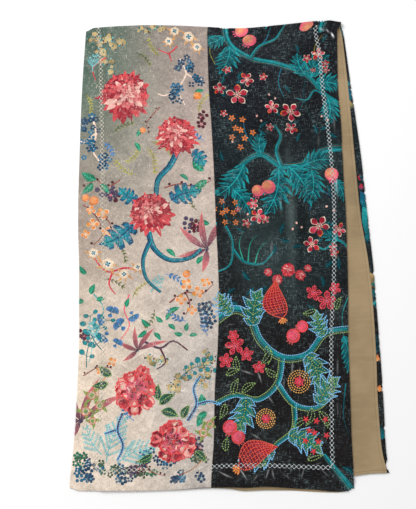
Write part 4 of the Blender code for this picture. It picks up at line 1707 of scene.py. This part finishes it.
DARK_TENDRILS = (
    # start width, end width, ink, other ink, route
    (2.6, 0.9, "ocean", "teal", ((150, 84), (140, 122), (150, 156))),
    (2.6, 0.9, "ocean", "teal", ((104, 40), (120, 18), (122, -4))),
    (2.2, 0.9, "deep", "shade", ((196, 108), (190, 160), (206, 206), (240, 232))),
    (2.2, 0.9, "deep", "shade", ((190, 160), (176, 200), (184, 236))),
    (2.2, 0.9, "deep", "shade", ((44, 34), (20, 70), (12, 110))),
    (2.8, 1.0, "teal", "ocean", ((96, 276), (70, 240), (64, 206))),
    (2.8, 1.0, "teal", "ocean", ((182, 296), (206, 340), (236, 366))),
    (2.8, 1.0, "teal", "ocean", ((182, 296), (196, 346), (188, 392))),
    (2.4, 1.0, "ocean", "teal", ((26, 344), (16, 384), (26, 420))),
    (2.4, 1.0, "mint", "deep", ((52, 496), (44, 460), (56, 430))),
    (2.4, 1.0, "mint", "deep", ((60, 498), (66, 460), (84, 440))),
    (2.4, 1.0, "mint", "deep", ((74, 500), (84, 470), (104, 452))),
    (3.0, 1.2, "umber", "olive", ((12, 20), (4, 54), (14, 84))),
    (3.0, 1.2, "umber", "olive", ((230, 20), (214, 50), (224, 84))),
    (2.4, 1.0, "lagoon", "deep", ((262, 560), (248, 600), (252, 650))),
    (2.4, 1.0, "teal", "shade", ((252, 730), (246, 790), (256, 830))),
)
DARK_CLUMPS = (
    # across, down, size, turn
    (56, 150, 22, 0.3), (160, 186, 21, 2.2), (206, 424, 23, 3.6), (84, 404, 16, 1.2), (222, 62, 14, 2.8),
)
DARK_SMALL = (
    (110, 112, 9, 0.2), (26, 190, 8, 1.0), (98, 410, 9, 0.5), (236, 96, 8, 1.1), (232, 466, 9, 0.4),
)
DARK_STARS = ((58, 226, 12, 0.4), (22, 392, 11, 1.2))
DARK_BERRIES = (
    (84, 24, 14, 4.2), (66, 2, 13, 3.6), (108, 344, 14, 3.9), (86, 352, 12, 4.4), (236, 318, 14, 4.8),
)
DARK_SPECKS = (
    (120, 150), (132, 158), (126, 170), (222, 196), (234, 204), (92, 196), (100, 206), (40, 250),
    (222, 384), (236, 392), (160, 420), (170, 428), (152, 432), (78, 388), (64, 400), (214, 60),
)
DARK_QUIET_LEAVES = (
    (96, 222, 22, 9, 0.7), (108, 236, 20, 8, 2.4), (82, 234, 20, 8, 4.0), (230, 36, 20, 8, 1.0),
    (204, 214, 22, 9, 5.0), (218, 226, 20, 8, 0.4), (72, 420, 22, 9, 0.9), (56, 436, 20, 8, 2.6),
    (128, 440, 24, 10, 1.2), (146, 456, 22, 9, 2.8), (116, 462, 22, 9, 4.4), (244, 510, 24, 10, 1.6),
    (226, 340, 22, 9, 4.9), (170, 250, 20, 8, 1.2), (30, 108, 22, 9, 4.4), (176, 40, 20, 8, 5.0),
    (16, 560, 22, 9, 0.6), (24, 574, 22, 9, 5.6), (196, 590, 22, 9, 2.6), (84, 560, 22, 9, 0.9),
    (62, 532, 24, 10, 2.2), (70, 546, 22, 9, 3.9), (216, 508, 24, 10, 0.7), (206, 524, 22, 9, 4.9),
    (20, 290, 22, 9, 1.8), (250, 240, 24, 10, 2.6), (150, 130, 22, 9, 5.4), (60, 118, 20, 8, 1.2),
    (150, 470, 22, 9, 0.2), (190, 480, 22, 9, 2.0), (252, 690, 30, 12, 1.3), (240, 884, 40, 14, -0.7),
)
DARK_ROSES = (
    # across, down, size, turn
    (140, 512, 15, 0.4), (118, 530, 11, 1.2), (164, 522, 11, 0.9), (100, 516, 9, 0.2), (180, 508, 8, 0.1),
)
DARK_TURNED = (
    # distance along the back leaf, length, ink, other ink
    (24, 26, "teal", "deep"), (150, 10, "lagoon", "teal"), (164, 26, "ocean", "teal"),
    (194, 14, "ochre", "moss"), (352, 6, "ruby", "crimson"), (372, 5, "ruby", "aubergine"),
    (384, 34, "ocean", "teal"), (416, 58, "lagoon", "teal"), (474, 12, "teal", "deep"),
    (548, 30, "ochre", "umber"), (584, 14, "teal", "shade"), (668, 34, "shade", "deep"),
    (712, 4, "orange", "peach"), (770, 3, "orange", "peach"), (842, 22, "shade", "teal"),
)
DARK_SEWN_LIMBS = (
    # start width, end width, route
    (16.0, 11.0, (
        (-6, 612), (30, 590), (62, 604), (84, 650), (128, 682), (178, 676), (214, 636), (266, 626),
    )),
    (11.0, 7.0, ((128, 682), (120, 730), (84, 760), (40, 752), (2, 768))),
    (10.0, 7.0, ((120, 730), (152, 770), (196, 776), (226, 748))),
    (9.0, 6.0, ((152, 770), (150, 816), (116, 846), (96, 886))),
)
DARK_SEWN_LEAVES = (
    # across, down, length, width, turn
    (70, 622, 76, 46, 1.35), (176, 676, 70, 44, -1.2), (60, 756, 72, 44, -1.9), (200, 770, 66, 42, 0.9),
    (112, 848, 70, 42, 3.5), (140, 826, 74, 42, -0.5), (28, 596, 50, 34, 2.2), (214, 640, 52, 34, 1.9),
)
DARK_STITCH_LEAVES = (
    # across, down, length, width, turn
    (96, 660, 34, 14, -1.4), (106, 668, 34, 14, -2.2), (36, 752, 32, 13, 1.3), (52, 748, 32, 13, 0.6),
    (186, 776, 34, 14, -1.9), (200, 782, 34, 14, -1.1), (226, 748, 30, 13, 1.5), (150, 812, 32, 13, 0.5),
    (100, 880, 30, 13, 2.6), (20, 768, 30, 13, -1.9),
    (20, 716, 28, 12, 0.4), (44, 706, 28, 12, 1.8), (196, 590, 28, 12, 3.4), (236, 590, 26, 11, 1.2),
    (176, 872, 30, 13, 0.3), (206, 700, 28, 12, 2.4), (24, 856, 26, 12, 1.5), (120, 716, 28, 12, 2.6),
)
DARK_SEWN_BLOSSOMS = (
    (216, 572, 19, 0.3), (190, 556, 15, 1.3), (234, 548, 12, 0.8), (34, 660, 18, 0.6), (58, 676, 14, 1.6),
    (18, 688, 14, 0.2), (30, 640, 11, 1.1), (84, 700, 12, 0.4),
)
DARK_SEWN_STARS = ((190, 822, 11.5, 0.4),)
DARK_SEWN_FRUITS = ((150, 640, 13, 4.2), (168, 622, 11, 3.4), (30, 812, 13, 4.6), (46, 830, 12, 5.2))
DROPS = ((128, 606, 74, 46, 1.75), (50, 886, 80, 46, 0.5))
GOLD_RINGS = ((162, 727, 20, 0.3), (98, 796, 17, 1.1))
RED_TONES = ("rose", "crimson", "ruby", "coral")
RED_THREADS = ("thread_red", "thread_pink")
COOL_THREADS = ("thread_blue", "thread_green")


def gold_rings(pattern, x, y, r, turn):
    """A round flower with a red heart and rings of gold stitches about it."""
    pattern.clear([polar(x, y, 1.15 * r, 0.35 * k) for k in range(18)])
    blossom(pattern, x, y, 0.5 * r, turn, RED_TONES, petals=6, sewn=RED_THREADS)
    for share in (0.62, 0.84, 1.06):
        ring = [polar(x, y, share * r, math.pi * k / 9.0) for k in range(18)]
        pattern.thread(ring, "thread_gold", closed=True, step=4.8, length=4.0, width=2.5)


def dark_print():
    """The dark panel's print and its embroidery."""
    pattern = Pattern(23)
    for start, end, ink, other, route in DARK_TENDRILS:
        stem(pattern, route, start, end, ink, other, steps=5)
    scatter(leaf, pattern, DARK_QUIET_LEAVES, tones=("shade", "deep", "teal"))
    for start, end, route in DARK_LIMBS:
        branch(pattern, route, start, end)
    scatter(lobed_leaf, pattern, DARK_FEATHERS, tones=("lagoon", "teal", "shade"), lobes=6)
    scatter(fruit, pattern, DARK_BERRIES)
    scatter(blossom_clump, pattern, DARK_CLUMPS)
    scatter(blossom, pattern, DARK_SMALL)
    scatter(star_clump, pattern, DARK_STARS)
    for across, down in DARK_SPECKS:
        pattern.dot(across, -down, 2.6, "coral", "blush", squash=0.8, turn=down)
    scatter(dahlia, pattern, DARK_ROSES, tones=("crimson", "ruby", "coral", "rose", "blush"), rings=3)
    for start, end, route in DARK_SEWN_LIMBS:
        branch(pattern, route, start, end, sewn=COOL_THREADS)
    scatter(lobed_leaf, pattern, DARK_SEWN_LEAVES, tones=("shade", "teal", "leaf"), sewn=COOL_THREADS)
    scatter(stitched_leaf, pattern, DARK_STITCH_LEAVES)
    scatter(blossom, pattern, DARK_SEWN_BLOSSOMS, tones=RED_TONES, sewn=RED_THREADS)
    scatter(star_clump, pattern, DARK_SEWN_STARS, ink="ruby", heart="crimson", count=9, sewn=True)
    scatter(fruit, pattern, DARK_SEWN_FRUITS, tones=("coral", "berry", "leaf"), sewn="thread_red")
    scatter(drop_motif, pattern, DROPS)
    scatter(gold_rings, pattern, GOLD_RINGS)
    for along, length, ink, other in DARK_TURNED:
        line = through(((264, along), (268, along + 0.5 * length), (265, along + length)), 3)
        pattern.strip(line, 12.0, 7.0, ink, other)
    return pattern


# The border of crossed stitches: where it runs, how far in from the edges, and its cells
BORDER_CELL = 8.6
BORDER_HALF = 3.3
BORDER_STRAIGHT = 4.6
BORDER_THREAD = 1.75
BORDER_HEM_IN = 37.0
CROSS_HIGH = 1.7 * BORDER_HALF
CROSS_LONG = BORDER_CELL - 0.6 * BORDER_STRAIGHT
BORDER_INSETS = (
    # distance from fold, inset on the left, inset on the right
    (0, 27.0, 44.0),
    (60, 34.0, 36.0),
    (200, 42.0, 28.0),
    (330, 46.0, 22.0),
    (480, 47.0, 26.0),
    (640, 46.0, 34.0),
    (920, 45.0, 38.0),
)
INSET_CURVES = table_curves(BORDER_INSETS)


def border_route(side):
    """Points along the border of one panel, from the front hem's seam end round to the fold."""
    column = 1 if side < 0.0 else 2
    hem = float(FRONT_HEM_CURVES[1](side * 120.0)) - BORDER_HEM_IN
    last = HALF_WIDTH - float(INSET_CURVES[column](hem))
    steps = int(last / BORDER_CELL)
    route = [
        (side * last * k / steps, -hem + 2.0 * math.sin(0.021 * last * k / steps))
        for k in range(steps)
    ]
    steps = int((hem + 4.0) / BORDER_CELL)
    for k in range(steps + 1):
        along = -hem + BORDER_CELL * k
        inset = float(INSET_CURVES[column](-along))
        route.append((side * (HALF_WIDTH - inset), along))
    return route


def sew_border(pattern, side, ink):
    """Pairs of short straight stitches along the border, with crossed ones between the pairs."""
    route = border_route(side)
    ways = normals(route)
    rng = pattern.rng
    for k in range(len(route) - 1):
        (ax, ay), (bx, by) = route[k], route[k + 1]
        nx, ny = ways[k]
        turn = math.atan2(by - ay, bx - ax)
        for way in (1.0, -1.0):
            x, y = ax + way * nx * BORDER_HALF, ay + way * ny * BORDER_HALF
            lean = turn + rng.uniform(-0.12, 0.12)
            length = BORDER_STRAIGHT * rng.uniform(0.92, 1.08)
            pattern.stitches.append((x, y, lean, length, BORDER_THREAD, ink))
            x, y = 0.5 * (ax + bx), 0.5 * (ay + by)
            crossing = turn + way * math.atan2(CROSS_HIGH, CROSS_LONG)
            length = math.hypot(CROSS_HIGH, CROSS_LONG) * rng.uniform(0.95, 1.05)
            pattern.stitches.append((x, y, crossing, length, BORDER_THREAD * 0.9, ink))


# Shapes of a smaller extent than this, in square millimetres, are left out of the back leaf
BACK_LEAST = 150.0


def back_print(pattern, middle):
    """The larger shapes of the print once more, turned half round for the back leaf."""
    turned = []
    tones = []
    for shape, tone in zip(pattern.shapes, pattern.tones):
        wide = max(p[0] for p in shape) - min(p[0] for p in shape)
        high = max(p[1] for p in shape) - min(p[1] for p in shape)
        if wide * high < BACK_LEAST:
            continue
        turned.append([(2.0 * middle - x, -y) for x, y in shape])
        r1, g1, b1, r2, g2, b2, x, y, dx, dy, radial = tone
        sign = 1.0 if radial else -1.0
        tones.append((r1, g1, b1, r2, g2, b2, 2.0 * middle - x, -y, sign * dx, sign * dy, radial))
    pattern.shapes += turned
    pattern.tones += tones


# Soft patches of dye in the grounds, and on the dark ground painted light and shade along its largest ridge:
# across, down, reach across, reach down, screen colour
PALE_GROUND = (
    (-260, 40, 100, 150, (40, 86, 76)),
    (-190, 150, 90, 150, (108, 124, 108)),
    (-60, 60, 110, 130, (158, 144, 136)),
    (-50, 240, 110, 150, (196, 176, 166)),
    (-250, 400, 70, 150, (150, 132, 120)),
    (-170, 300, 80, 90, (150, 146, 134)),
    (-90, 470, 150, 160, (208, 192, 178)),
    (-240, 720, 130, 190, (240, 220, 198)),
    (-60, 700, 110, 200, (213, 201, 190)),
    (-20, 800, 70, 200, (190, 184, 180)),
    (-200, 890, 150, 70, (242, 224, 206)),
)
DARK_DYE_AND_PAINTED_RIDGE_LIGHT = (
    (130, 60, 200, 200, (24, 24, 29)),
    (130, 420, 200, 160, (26, 27, 30)),
    (130, 760, 200, 240, (29, 26, 27)),
    (70, 90, 50, 80, (30, 33, 42)),
    (110, 470, 60, 90, (58, 76, 76)),
    (226, 340, 40, 90, (36, 52, 54)),
    (40, 260, 36, 60, (30, 42, 46)),
    (196, 520, 50, 60, (32, 44, 46)),
    # Painted highlight along the crest of the largest ridge, and painted shade in the valleys on both sides
    # of it
    (150, 410, 8, 90, (100, 116, 114)),
    (167, 410, 10, 100, (10, 12, 14)),
    (136, 400, 9, 100, (12, 24, 22)),
)


class Nodes:
    """Builds a material's nodes with few words."""

    def __init__(self, name):
        self.material = bpy.data.materials.new(name)
        self.material.use_nodes = True
        self.tree = self.material.node_tree
        self.shader = self.tree.nodes["Principled BSDF"]

    def add(self, kind, inputs=None, **settings):
        """A node with its settings, its inputs set or linked."""
        node = self.tree.nodes.new(kind)
        for key, value in settings.items():
            setattr(node, key, value)
        for key, value in (inputs or {}).items():
            self.put(node.inputs[key], value)
        return node

    def put(self, socket, value):
        """Link an output to a socket, or set the socket to a plain value."""
        if hasattr(value, "is_output"):
            self.tree.links.new(value, socket)
        else:
            socket.default_value = value

    def surface(self, inputs):
        """Set or link the shader's own sockets."""
        for key, value in inputs.items():
            self.put(self.shader.inputs[key], value)

    def math(self, operation, a, b):
        """Two values put together."""
        node = self.add("ShaderNodeMath", operation=operation)
        self.put(node.inputs[0], a)
        self.put(node.inputs[1], b)
        return node.outputs[0]

    def mix(self, share, a, b):
        """Colour a, blended towards colour b by a share."""
        node = self.add("ShaderNodeMix", data_type="RGBA")
        self.put(node.inputs[0], share)
        self.put(node.inputs[6], a)
        self.put(node.inputs[7], b)
        return node.outputs[2]

    def ramp(self, value, low, high, start=0.0, end=1.0):
        """A value eased from start to end while it goes from low to high."""
        node = self.add("ShaderNodeMapRange", {"Value": value}, interpolation_type="SMOOTHSTEP")
        for key, number in zip(("From Min", "From Max", "To Min", "To Max"), (low, high, start, end)):
            node.inputs[key].default_value = number
        return node.outputs[0]

    def noise(self, space, scale, detail, stretch=(1.0, 1.0, 1.0), roughness=0.55, turn=0.0):
        """Soft noise over a space that may be stretched and turned first."""
        moved = {"Vector": space, "Scale": stretch, "Rotation": (0.0, 0.0, turn)}
        mapping = self.add("ShaderNodeMapping", moved)
        inputs = {"Vector": mapping.outputs[0], "Scale": scale, "Detail": detail, "Roughness": roughness}
        return self.add("ShaderNodeTexNoise", inputs).outputs["Fac"]

    def bump(self, height, strength, distance):
        """Give the surface a fine relief."""
        node = self.add("ShaderNodeBump", {"Height": height, "Strength": strength, "Distance": distance})
        self.surface({"Normal": node.outputs[0]})


def grey(level):
    """An opaque grey."""
    return (level, level, level, 1.0)


def opaque(screen):
    """An opaque light colour from a screen colour."""
    return (*linear(screen), 1.0)


# How dark the dyed pile is beside the same ink on paper
DYE_DEPTH = 0.76

# Each velvet: its scratchy threads, mottled dye, sheen, pale clouds of painted sheen and gloss
VELVETS = {
    "pale_velvet": {
        "scratches": 0.44, "scratch_ink": (238, 226, 212), "mottling": 0.17, "sheen": 0.25,
        "painted_sheen": 0.06, "painted_sheen_ink": (206, 196, 184), "gloss": 0.2,
    },
    "dark_velvet": {
        "scratches": 0.5, "scratch_ink": (126, 146, 150), "mottling": 0.30, "sheen": 0.10,
        "painted_sheen": 0.18, "painted_sheen_ink": (72, 86, 86), "gloss": 0.06,
    },
}


def velvet_material(name, scratches, scratch_ink, mottling, sheen, painted_sheen, painted_sheen_ink, gloss):
    """Printed velvet: the print's colours under mottled dye, fine scratchy threads, clouds of painted sheen
    and a nap.
    """
    nodes = Nodes(name)
    cloth = nodes.add("ShaderNodeUVMap", uv_map="cloth").outputs[0]
    print_colour = nodes.add("ShaderNodeVertexColor", layer_name="print").outputs["Color"]
    cloudy = nodes.noise(cloth, 22.0, detail=5.0, roughness=0.66)
    crushed = nodes.noise(cloth, 110.0, detail=3.0, roughness=0.6)
    warp = nodes.noise(cloth, 170.0, stretch=(1.0, 5.0, 1.0), detail=2.0)
    weft = nodes.noise(cloth, 170.0, stretch=(5.0, 1.0, 1.0), detail=2.0)
    fine = nodes.math("MULTIPLY", nodes.math("ADD", warp, weft), 0.5)
    shade = nodes.ramp(cloudy, 0.3, 0.7, DYE_DEPTH * (1.0 - mottling), DYE_DEPTH * (1.0 + mottling))
    blotch = nodes.ramp(crushed, 0.3, 0.7, 1.0 - 0.5 * mottling, 1.0 + 0.5 * mottling)
    speckle = nodes.ramp(fine, 0.36, 0.64, 0.8, 1.2)
    toned = nodes.add("ShaderNodeVectorMath", operation="SCALE")
    nodes.put(toned.inputs[0], print_colour)
    nodes.put(toned.inputs["Scale"], nodes.math("MULTIPLY", nodes.math("MULTIPLY", shade, speckle), blotch))
    # Painted sheen: pale clouds mixed into the colour where two noises are high, standing in for the sheen
    # of crushed pile
    painted_sheen_mask = nodes.ramp(nodes.noise(cloth, 9.0, detail=4.0, roughness=0.6), 0.46, 0.66)
    painted_sheen_mask = nodes.math("MULTIPLY", painted_sheen_mask, nodes.ramp(crushed, 0.34, 0.66, 0.25, 1.0))
    with_painted_sheen = nodes.mix(nodes.math("MULTIPLY", painted_sheen_mask, painted_sheen), toned.outputs[0], opaque(painted_sheen_ink))
    across = nodes.noise(cloth, 95.0, stretch=(1.0, 6.0, 1.0), detail=2.0)
    along = nodes.noise(cloth, 95.0, stretch=(6.0, 1.0, 1.0), detail=2.0)
    patchy = nodes.ramp(nodes.noise(cloth, 18.0, detail=3.0), 0.38, 0.66, 0.25, 1.0)
    threads = nodes.math("MAXIMUM", nodes.ramp(across, 0.57, 0.71), nodes.ramp(along, 0.57, 0.71))
    threads = nodes.math("MULTIPLY", threads, nodes.math("MULTIPLY", patchy, scratches))
    nodes.surface({
        "Base Color": nodes.mix(threads, with_painted_sheen, opaque(scratch_ink)),
        "Roughness": 0.82,
        "Specular IOR Level": gloss,
        "Sheen Weight": sheen,
        "Sheen Roughness": 0.4,
    })
    pile = nodes.noise(cloth, 1100.0, detail=1.0)
    height = nodes.math("ADD", nodes.math("MULTIPLY", crushed, 0.75), nodes.math("MULTIPLY", pile, 0.3))
    nodes.bump(height, 0.5, 0.0008)
    return nodes.material


def lining_material():
    """Smooth khaki cloth with a fine weave, soft drag lines and a dull shine."""
    nodes = Nodes("khaki_lining")
    cloth = nodes.add("ShaderNodeUVMap", uv_map="cloth").outputs[0]
    cloudy = nodes.noise(cloth, 9.0, detail=3.0)
    drag = nodes.noise(cloth, 22.0, stretch=(1.0, 5.0, 1.0), detail=3.0, turn=0.9)
    weave = nodes.noise(cloth, 800.0, stretch=(1.0, 3.0, 1.0), detail=1.0)
    base = nodes.mix(nodes.ramp(cloudy, 0.3, 0.7), opaque((138, 118, 86)), opaque((162, 139, 105)))
    # Painted highlight: the drag lines, which the bump below also raises, are painted lighter
    base = nodes.mix(nodes.ramp(drag, 0.45, 0.75, 0.0, 0.4), base, opaque((168, 146, 110)))
    base = nodes.mix(nodes.ramp(weave, 0.3, 0.7, 0.0, 0.2), base, opaque((104, 84, 56)))
    nodes.surface({
        "Base Color": base,
        "Roughness": 0.55,
        "Specular IOR Level": 0.3,
        "Sheen Weight": 0.15,
        "Sheen Roughness": 0.5,
    })
    height = nodes.math("ADD", nodes.math("MULTIPLY", drag, 0.8), nodes.math("MULTIPLY", weave, 0.2))
    nodes.bump(height, 0.3, 0.001)
    return nodes.material


def thread_material():
    """Embroidery thread in the colour of each stitch."""
    nodes = Nodes("sewing_thread")
    colour = nodes.add("ShaderNodeVertexColor", layer_name="print").outputs["Color"]
    space = nodes.add("ShaderNodeTexCoord").outputs["Object"]
    ply = nodes.noise(space, 900.0, detail=1.0)
    base = nodes.mix(nodes.ramp(ply, 0.35, 0.75, 0.0, 0.25), colour, grey(0.02))
    nodes.surface({"Base Color": base, "Roughness": 0.5, "Sheen Weight": 0.3})
    nodes.bump(ply, 0.4, 0.0003)
    return nodes.material


def floor_material():
    """A plain pale floor without gloss."""
    nodes = Nodes("pale_floor")
    nodes.surface({"Base Color": grey(0.86), "Roughness": 0.9, "Specular IOR Level": 0.0})
    return nodes.material


# The lining's grid: even columns out to here, rows out to here, and their spacing
LINING_MIDDLE = 200.0
LINING_ROWS_END = 900.0
LINING_GRID = 6.0
LINING_FOLD_GRID = 1.2
LINING_HEM_START = 903.0
LINING_HEM_ROW = 910.0

# Half the lining's width in the map for baking
LINING_CHART_HALF = 265.0

# How far the lining's last rows and columns are from its end
FINE_STEPS = (10.0, 8.0, 6.6, 5.8, 5.3, 4.9, 4.5, 4.1, 3.6, 3.0, 2.2, 1.4, 1.0, 0.75, 0.5, 0.25, 0.0)


def lining_end(across, along):
    """Where the lining's rolled edge ends, in flat cloth."""
    return lining_edge(across, along) + (0.5 * math.pi - 1.0) * LINING_RADIUS


def lining_skin(material):
    """The lining's plain side, its edges rolled in beside the turned velvet."""
    inner = np.linspace(0.0, LINING_MIDDLE, 41)
    middle_columns = np.concatenate([-inner[::-1], inner[1:]])
    steps = np.linspace(0.0, 1.0, 13)[1:]
    rows = [
        *np.arange(-LINING_ROWS_END, 0.0, LINING_GRID),
        *np.arange(0.0, FOLD_ARC, LINING_FOLD_GRID),
        *np.arange(FOLD_ARC, LINING_ROWS_END, LINING_GRID),
    ]

    def row_of(along):
        """Where the columns of one row are, from edge to edge."""
        found = []
        for side in (-1.0, 1.0):
            end = float(lining_end(side * HALF_WIDTH, along))
            out = LINING_MIDDLE + steps * (end - FINE_STEPS[0] - LINING_MIDDLE)
            found.append(np.concatenate([out, end - np.array(FINE_STEPS[1:])]))
        return np.concatenate([-found[0][::-1], middle_columns, found[1]])

    across_rows = [row_of(along) for along in rows]
    along_rows = [np.full(len(across_rows[0]), along) for along in rows]
    for sign, curves in ((-1.0, HEMS[0]), (1.0, HEMS[1])):
        row = row_of(sign * LINING_HEM_ROW)
        hem = curves[2](row) + 0.6 * LINING_RADIUS
        for share in (0.0, 0.33, 0.67):
            across_rows.append(row)
            along_rows.append(sign * (LINING_HEM_START + (hem - FINE_STEPS[0] - LINING_HEM_START) * share))
        for back in FINE_STEPS:
            across_rows.append(row)
            along_rows.append(sign * (hem - back))
    order = np.argsort([row[0] for row in along_rows])
    across = np.array(across_rows)[order]
    along = np.array(along_rows)[order]
    places = lining_point(across.ravel(), along.ravel())
    high, wide = across.shape
    ids = np.arange(high * wide).reshape(high, wide)
    faces = np.stack([ids[:-1, :-1], ids[1:, :-1], ids[1:, 1:], ids[:-1, 1:]], axis=-1).reshape(-1, 4)
    x = across.ravel()[faces.ravel()]
    y = along.ravel()[faces.ravel()]
    middle = np.repeat(along.ravel()[faces].mean(axis=1), 4)
    cloth = np.stack([x, y], axis=-1) * MM
    u = (x + LINING_CHART_HALF) / (2.0 * LINING_CHART_HALF) * CHART_SHARE
    v = (np.abs(y) + CHART_MARGIN) / CHART_LENGTH
    chart = np.stack([np.where(middle > 0.0, 1.0 - u, u), v], axis=-1)
    piece = new_mesh("lining_cloth", places, faces, None, (("OFBake", chart), ("cloth", cloth)))
    piece.data.materials.append(material)
    return piece


def build_scarf():
    """The two panels, the lining and their stitches, each on the body of the scarf."""
    pale, dark = (velvet_material(name, **look) for name, look in VELVETS.items())
    thread = thread_material()
    cloths = []
    for side, name, print_of, patches, velvet, ink in (
        (-1.0, "velvet_left", pale_print, PALE_GROUND, pale, "thread_beige"),
        (1.0, "velvet_right", dark_print, DARK_DYE_AND_PAINTED_RIDGE_LIGHT, dark, "thread_white"),
    ):
        pattern = print_of()
        sew_border(pattern, side, ink)
        back_print(pattern, side * 0.5 * HALF_WIDTH)
        cloth = printed_skin(name + "_cloth", side, pattern, patches, velvet)
        stitches = sewn_piece(name + "_stitches", pattern.stitches, thread)
        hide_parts(name)
        cloths.append((cloth, stitches, "velvet_pale" if side < 0.0 else "velvet_dark"))
    lining = lining_skin(lining_material())
    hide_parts("lining")
    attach(lining, "root")
    for cloth, stitches, slot in cloths:
        for piece in (cloth, stitches):
            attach(piece, "root")


# Room: floor, light and camera
FLOOR_SIZE = 8.0
FLOOR_DROP = 0.0003
CAMERA_TILT = math.radians(15.0)
CAMERA_DISTANCE = 2.2
CAMERA_TARGET = Vector((-0.039652, -0.021233, 0.0))
PHOTO_HEIGHT = 509.0
FOCUS_PIXELS = 1140.4
SENSOR = 36.0
SKY_STRENGTH = 0.74
LAMP_POWER = 52.0
LAMP_SIZE = 1.3
LAMP_PLACE = (-1.5, 1.2, 1.9)


def build_room():
    """A plain pale floor, a soft light overhead and the camera."""
    bpy.ops.mesh.primitive_plane_add(size=FLOOR_SIZE, location=(0.0, 0.0, -FLOOR_DROP))
    floor = bpy.context.object
    floor.name = "floor"
    floor.data.materials.append(floor_material())
    world = bpy.data.worlds.new("studio")
    world.use_nodes = True
    sky = world.node_tree.nodes["Background"].inputs
    sky["Color"].default_value = grey(1.0)
    sky["Strength"].default_value = SKY_STRENGTH
    bpy.context.scene.world = world
    lamp = bpy.data.lights.new("overhead", "AREA")
    lamp.size = LAMP_SIZE
    lamp.energy = LAMP_POWER
    lamp_object = new_object("overhead", lamp)
    lamp_object.location = LAMP_PLACE
    lamp_object.rotation_euler = (-lamp_object.location).to_track_quat("-Z", "Y").to_euler()
    camera = bpy.data.cameras.new("camera")
    camera.sensor_width = SENSOR
    camera.lens = FOCUS_PIXELS / PHOTO_HEIGHT * SENSOR
    camera_object = new_object("camera", camera)
    back = Vector((0.0, -math.sin(CAMERA_TILT), math.cos(CAMERA_TILT)))
    camera_object.location = CAMERA_TARGET + CAMERA_DISTANCE * back
    camera_object.rotation_euler = (CAMERA_TILT, 0.0, 0.0)
    bpy.context.scene.camera = camera_object
    bpy.context.scene.view_settings.view_transform = "Standard"


build_scarf()
build_room()

bpy.context.view_layer.update()
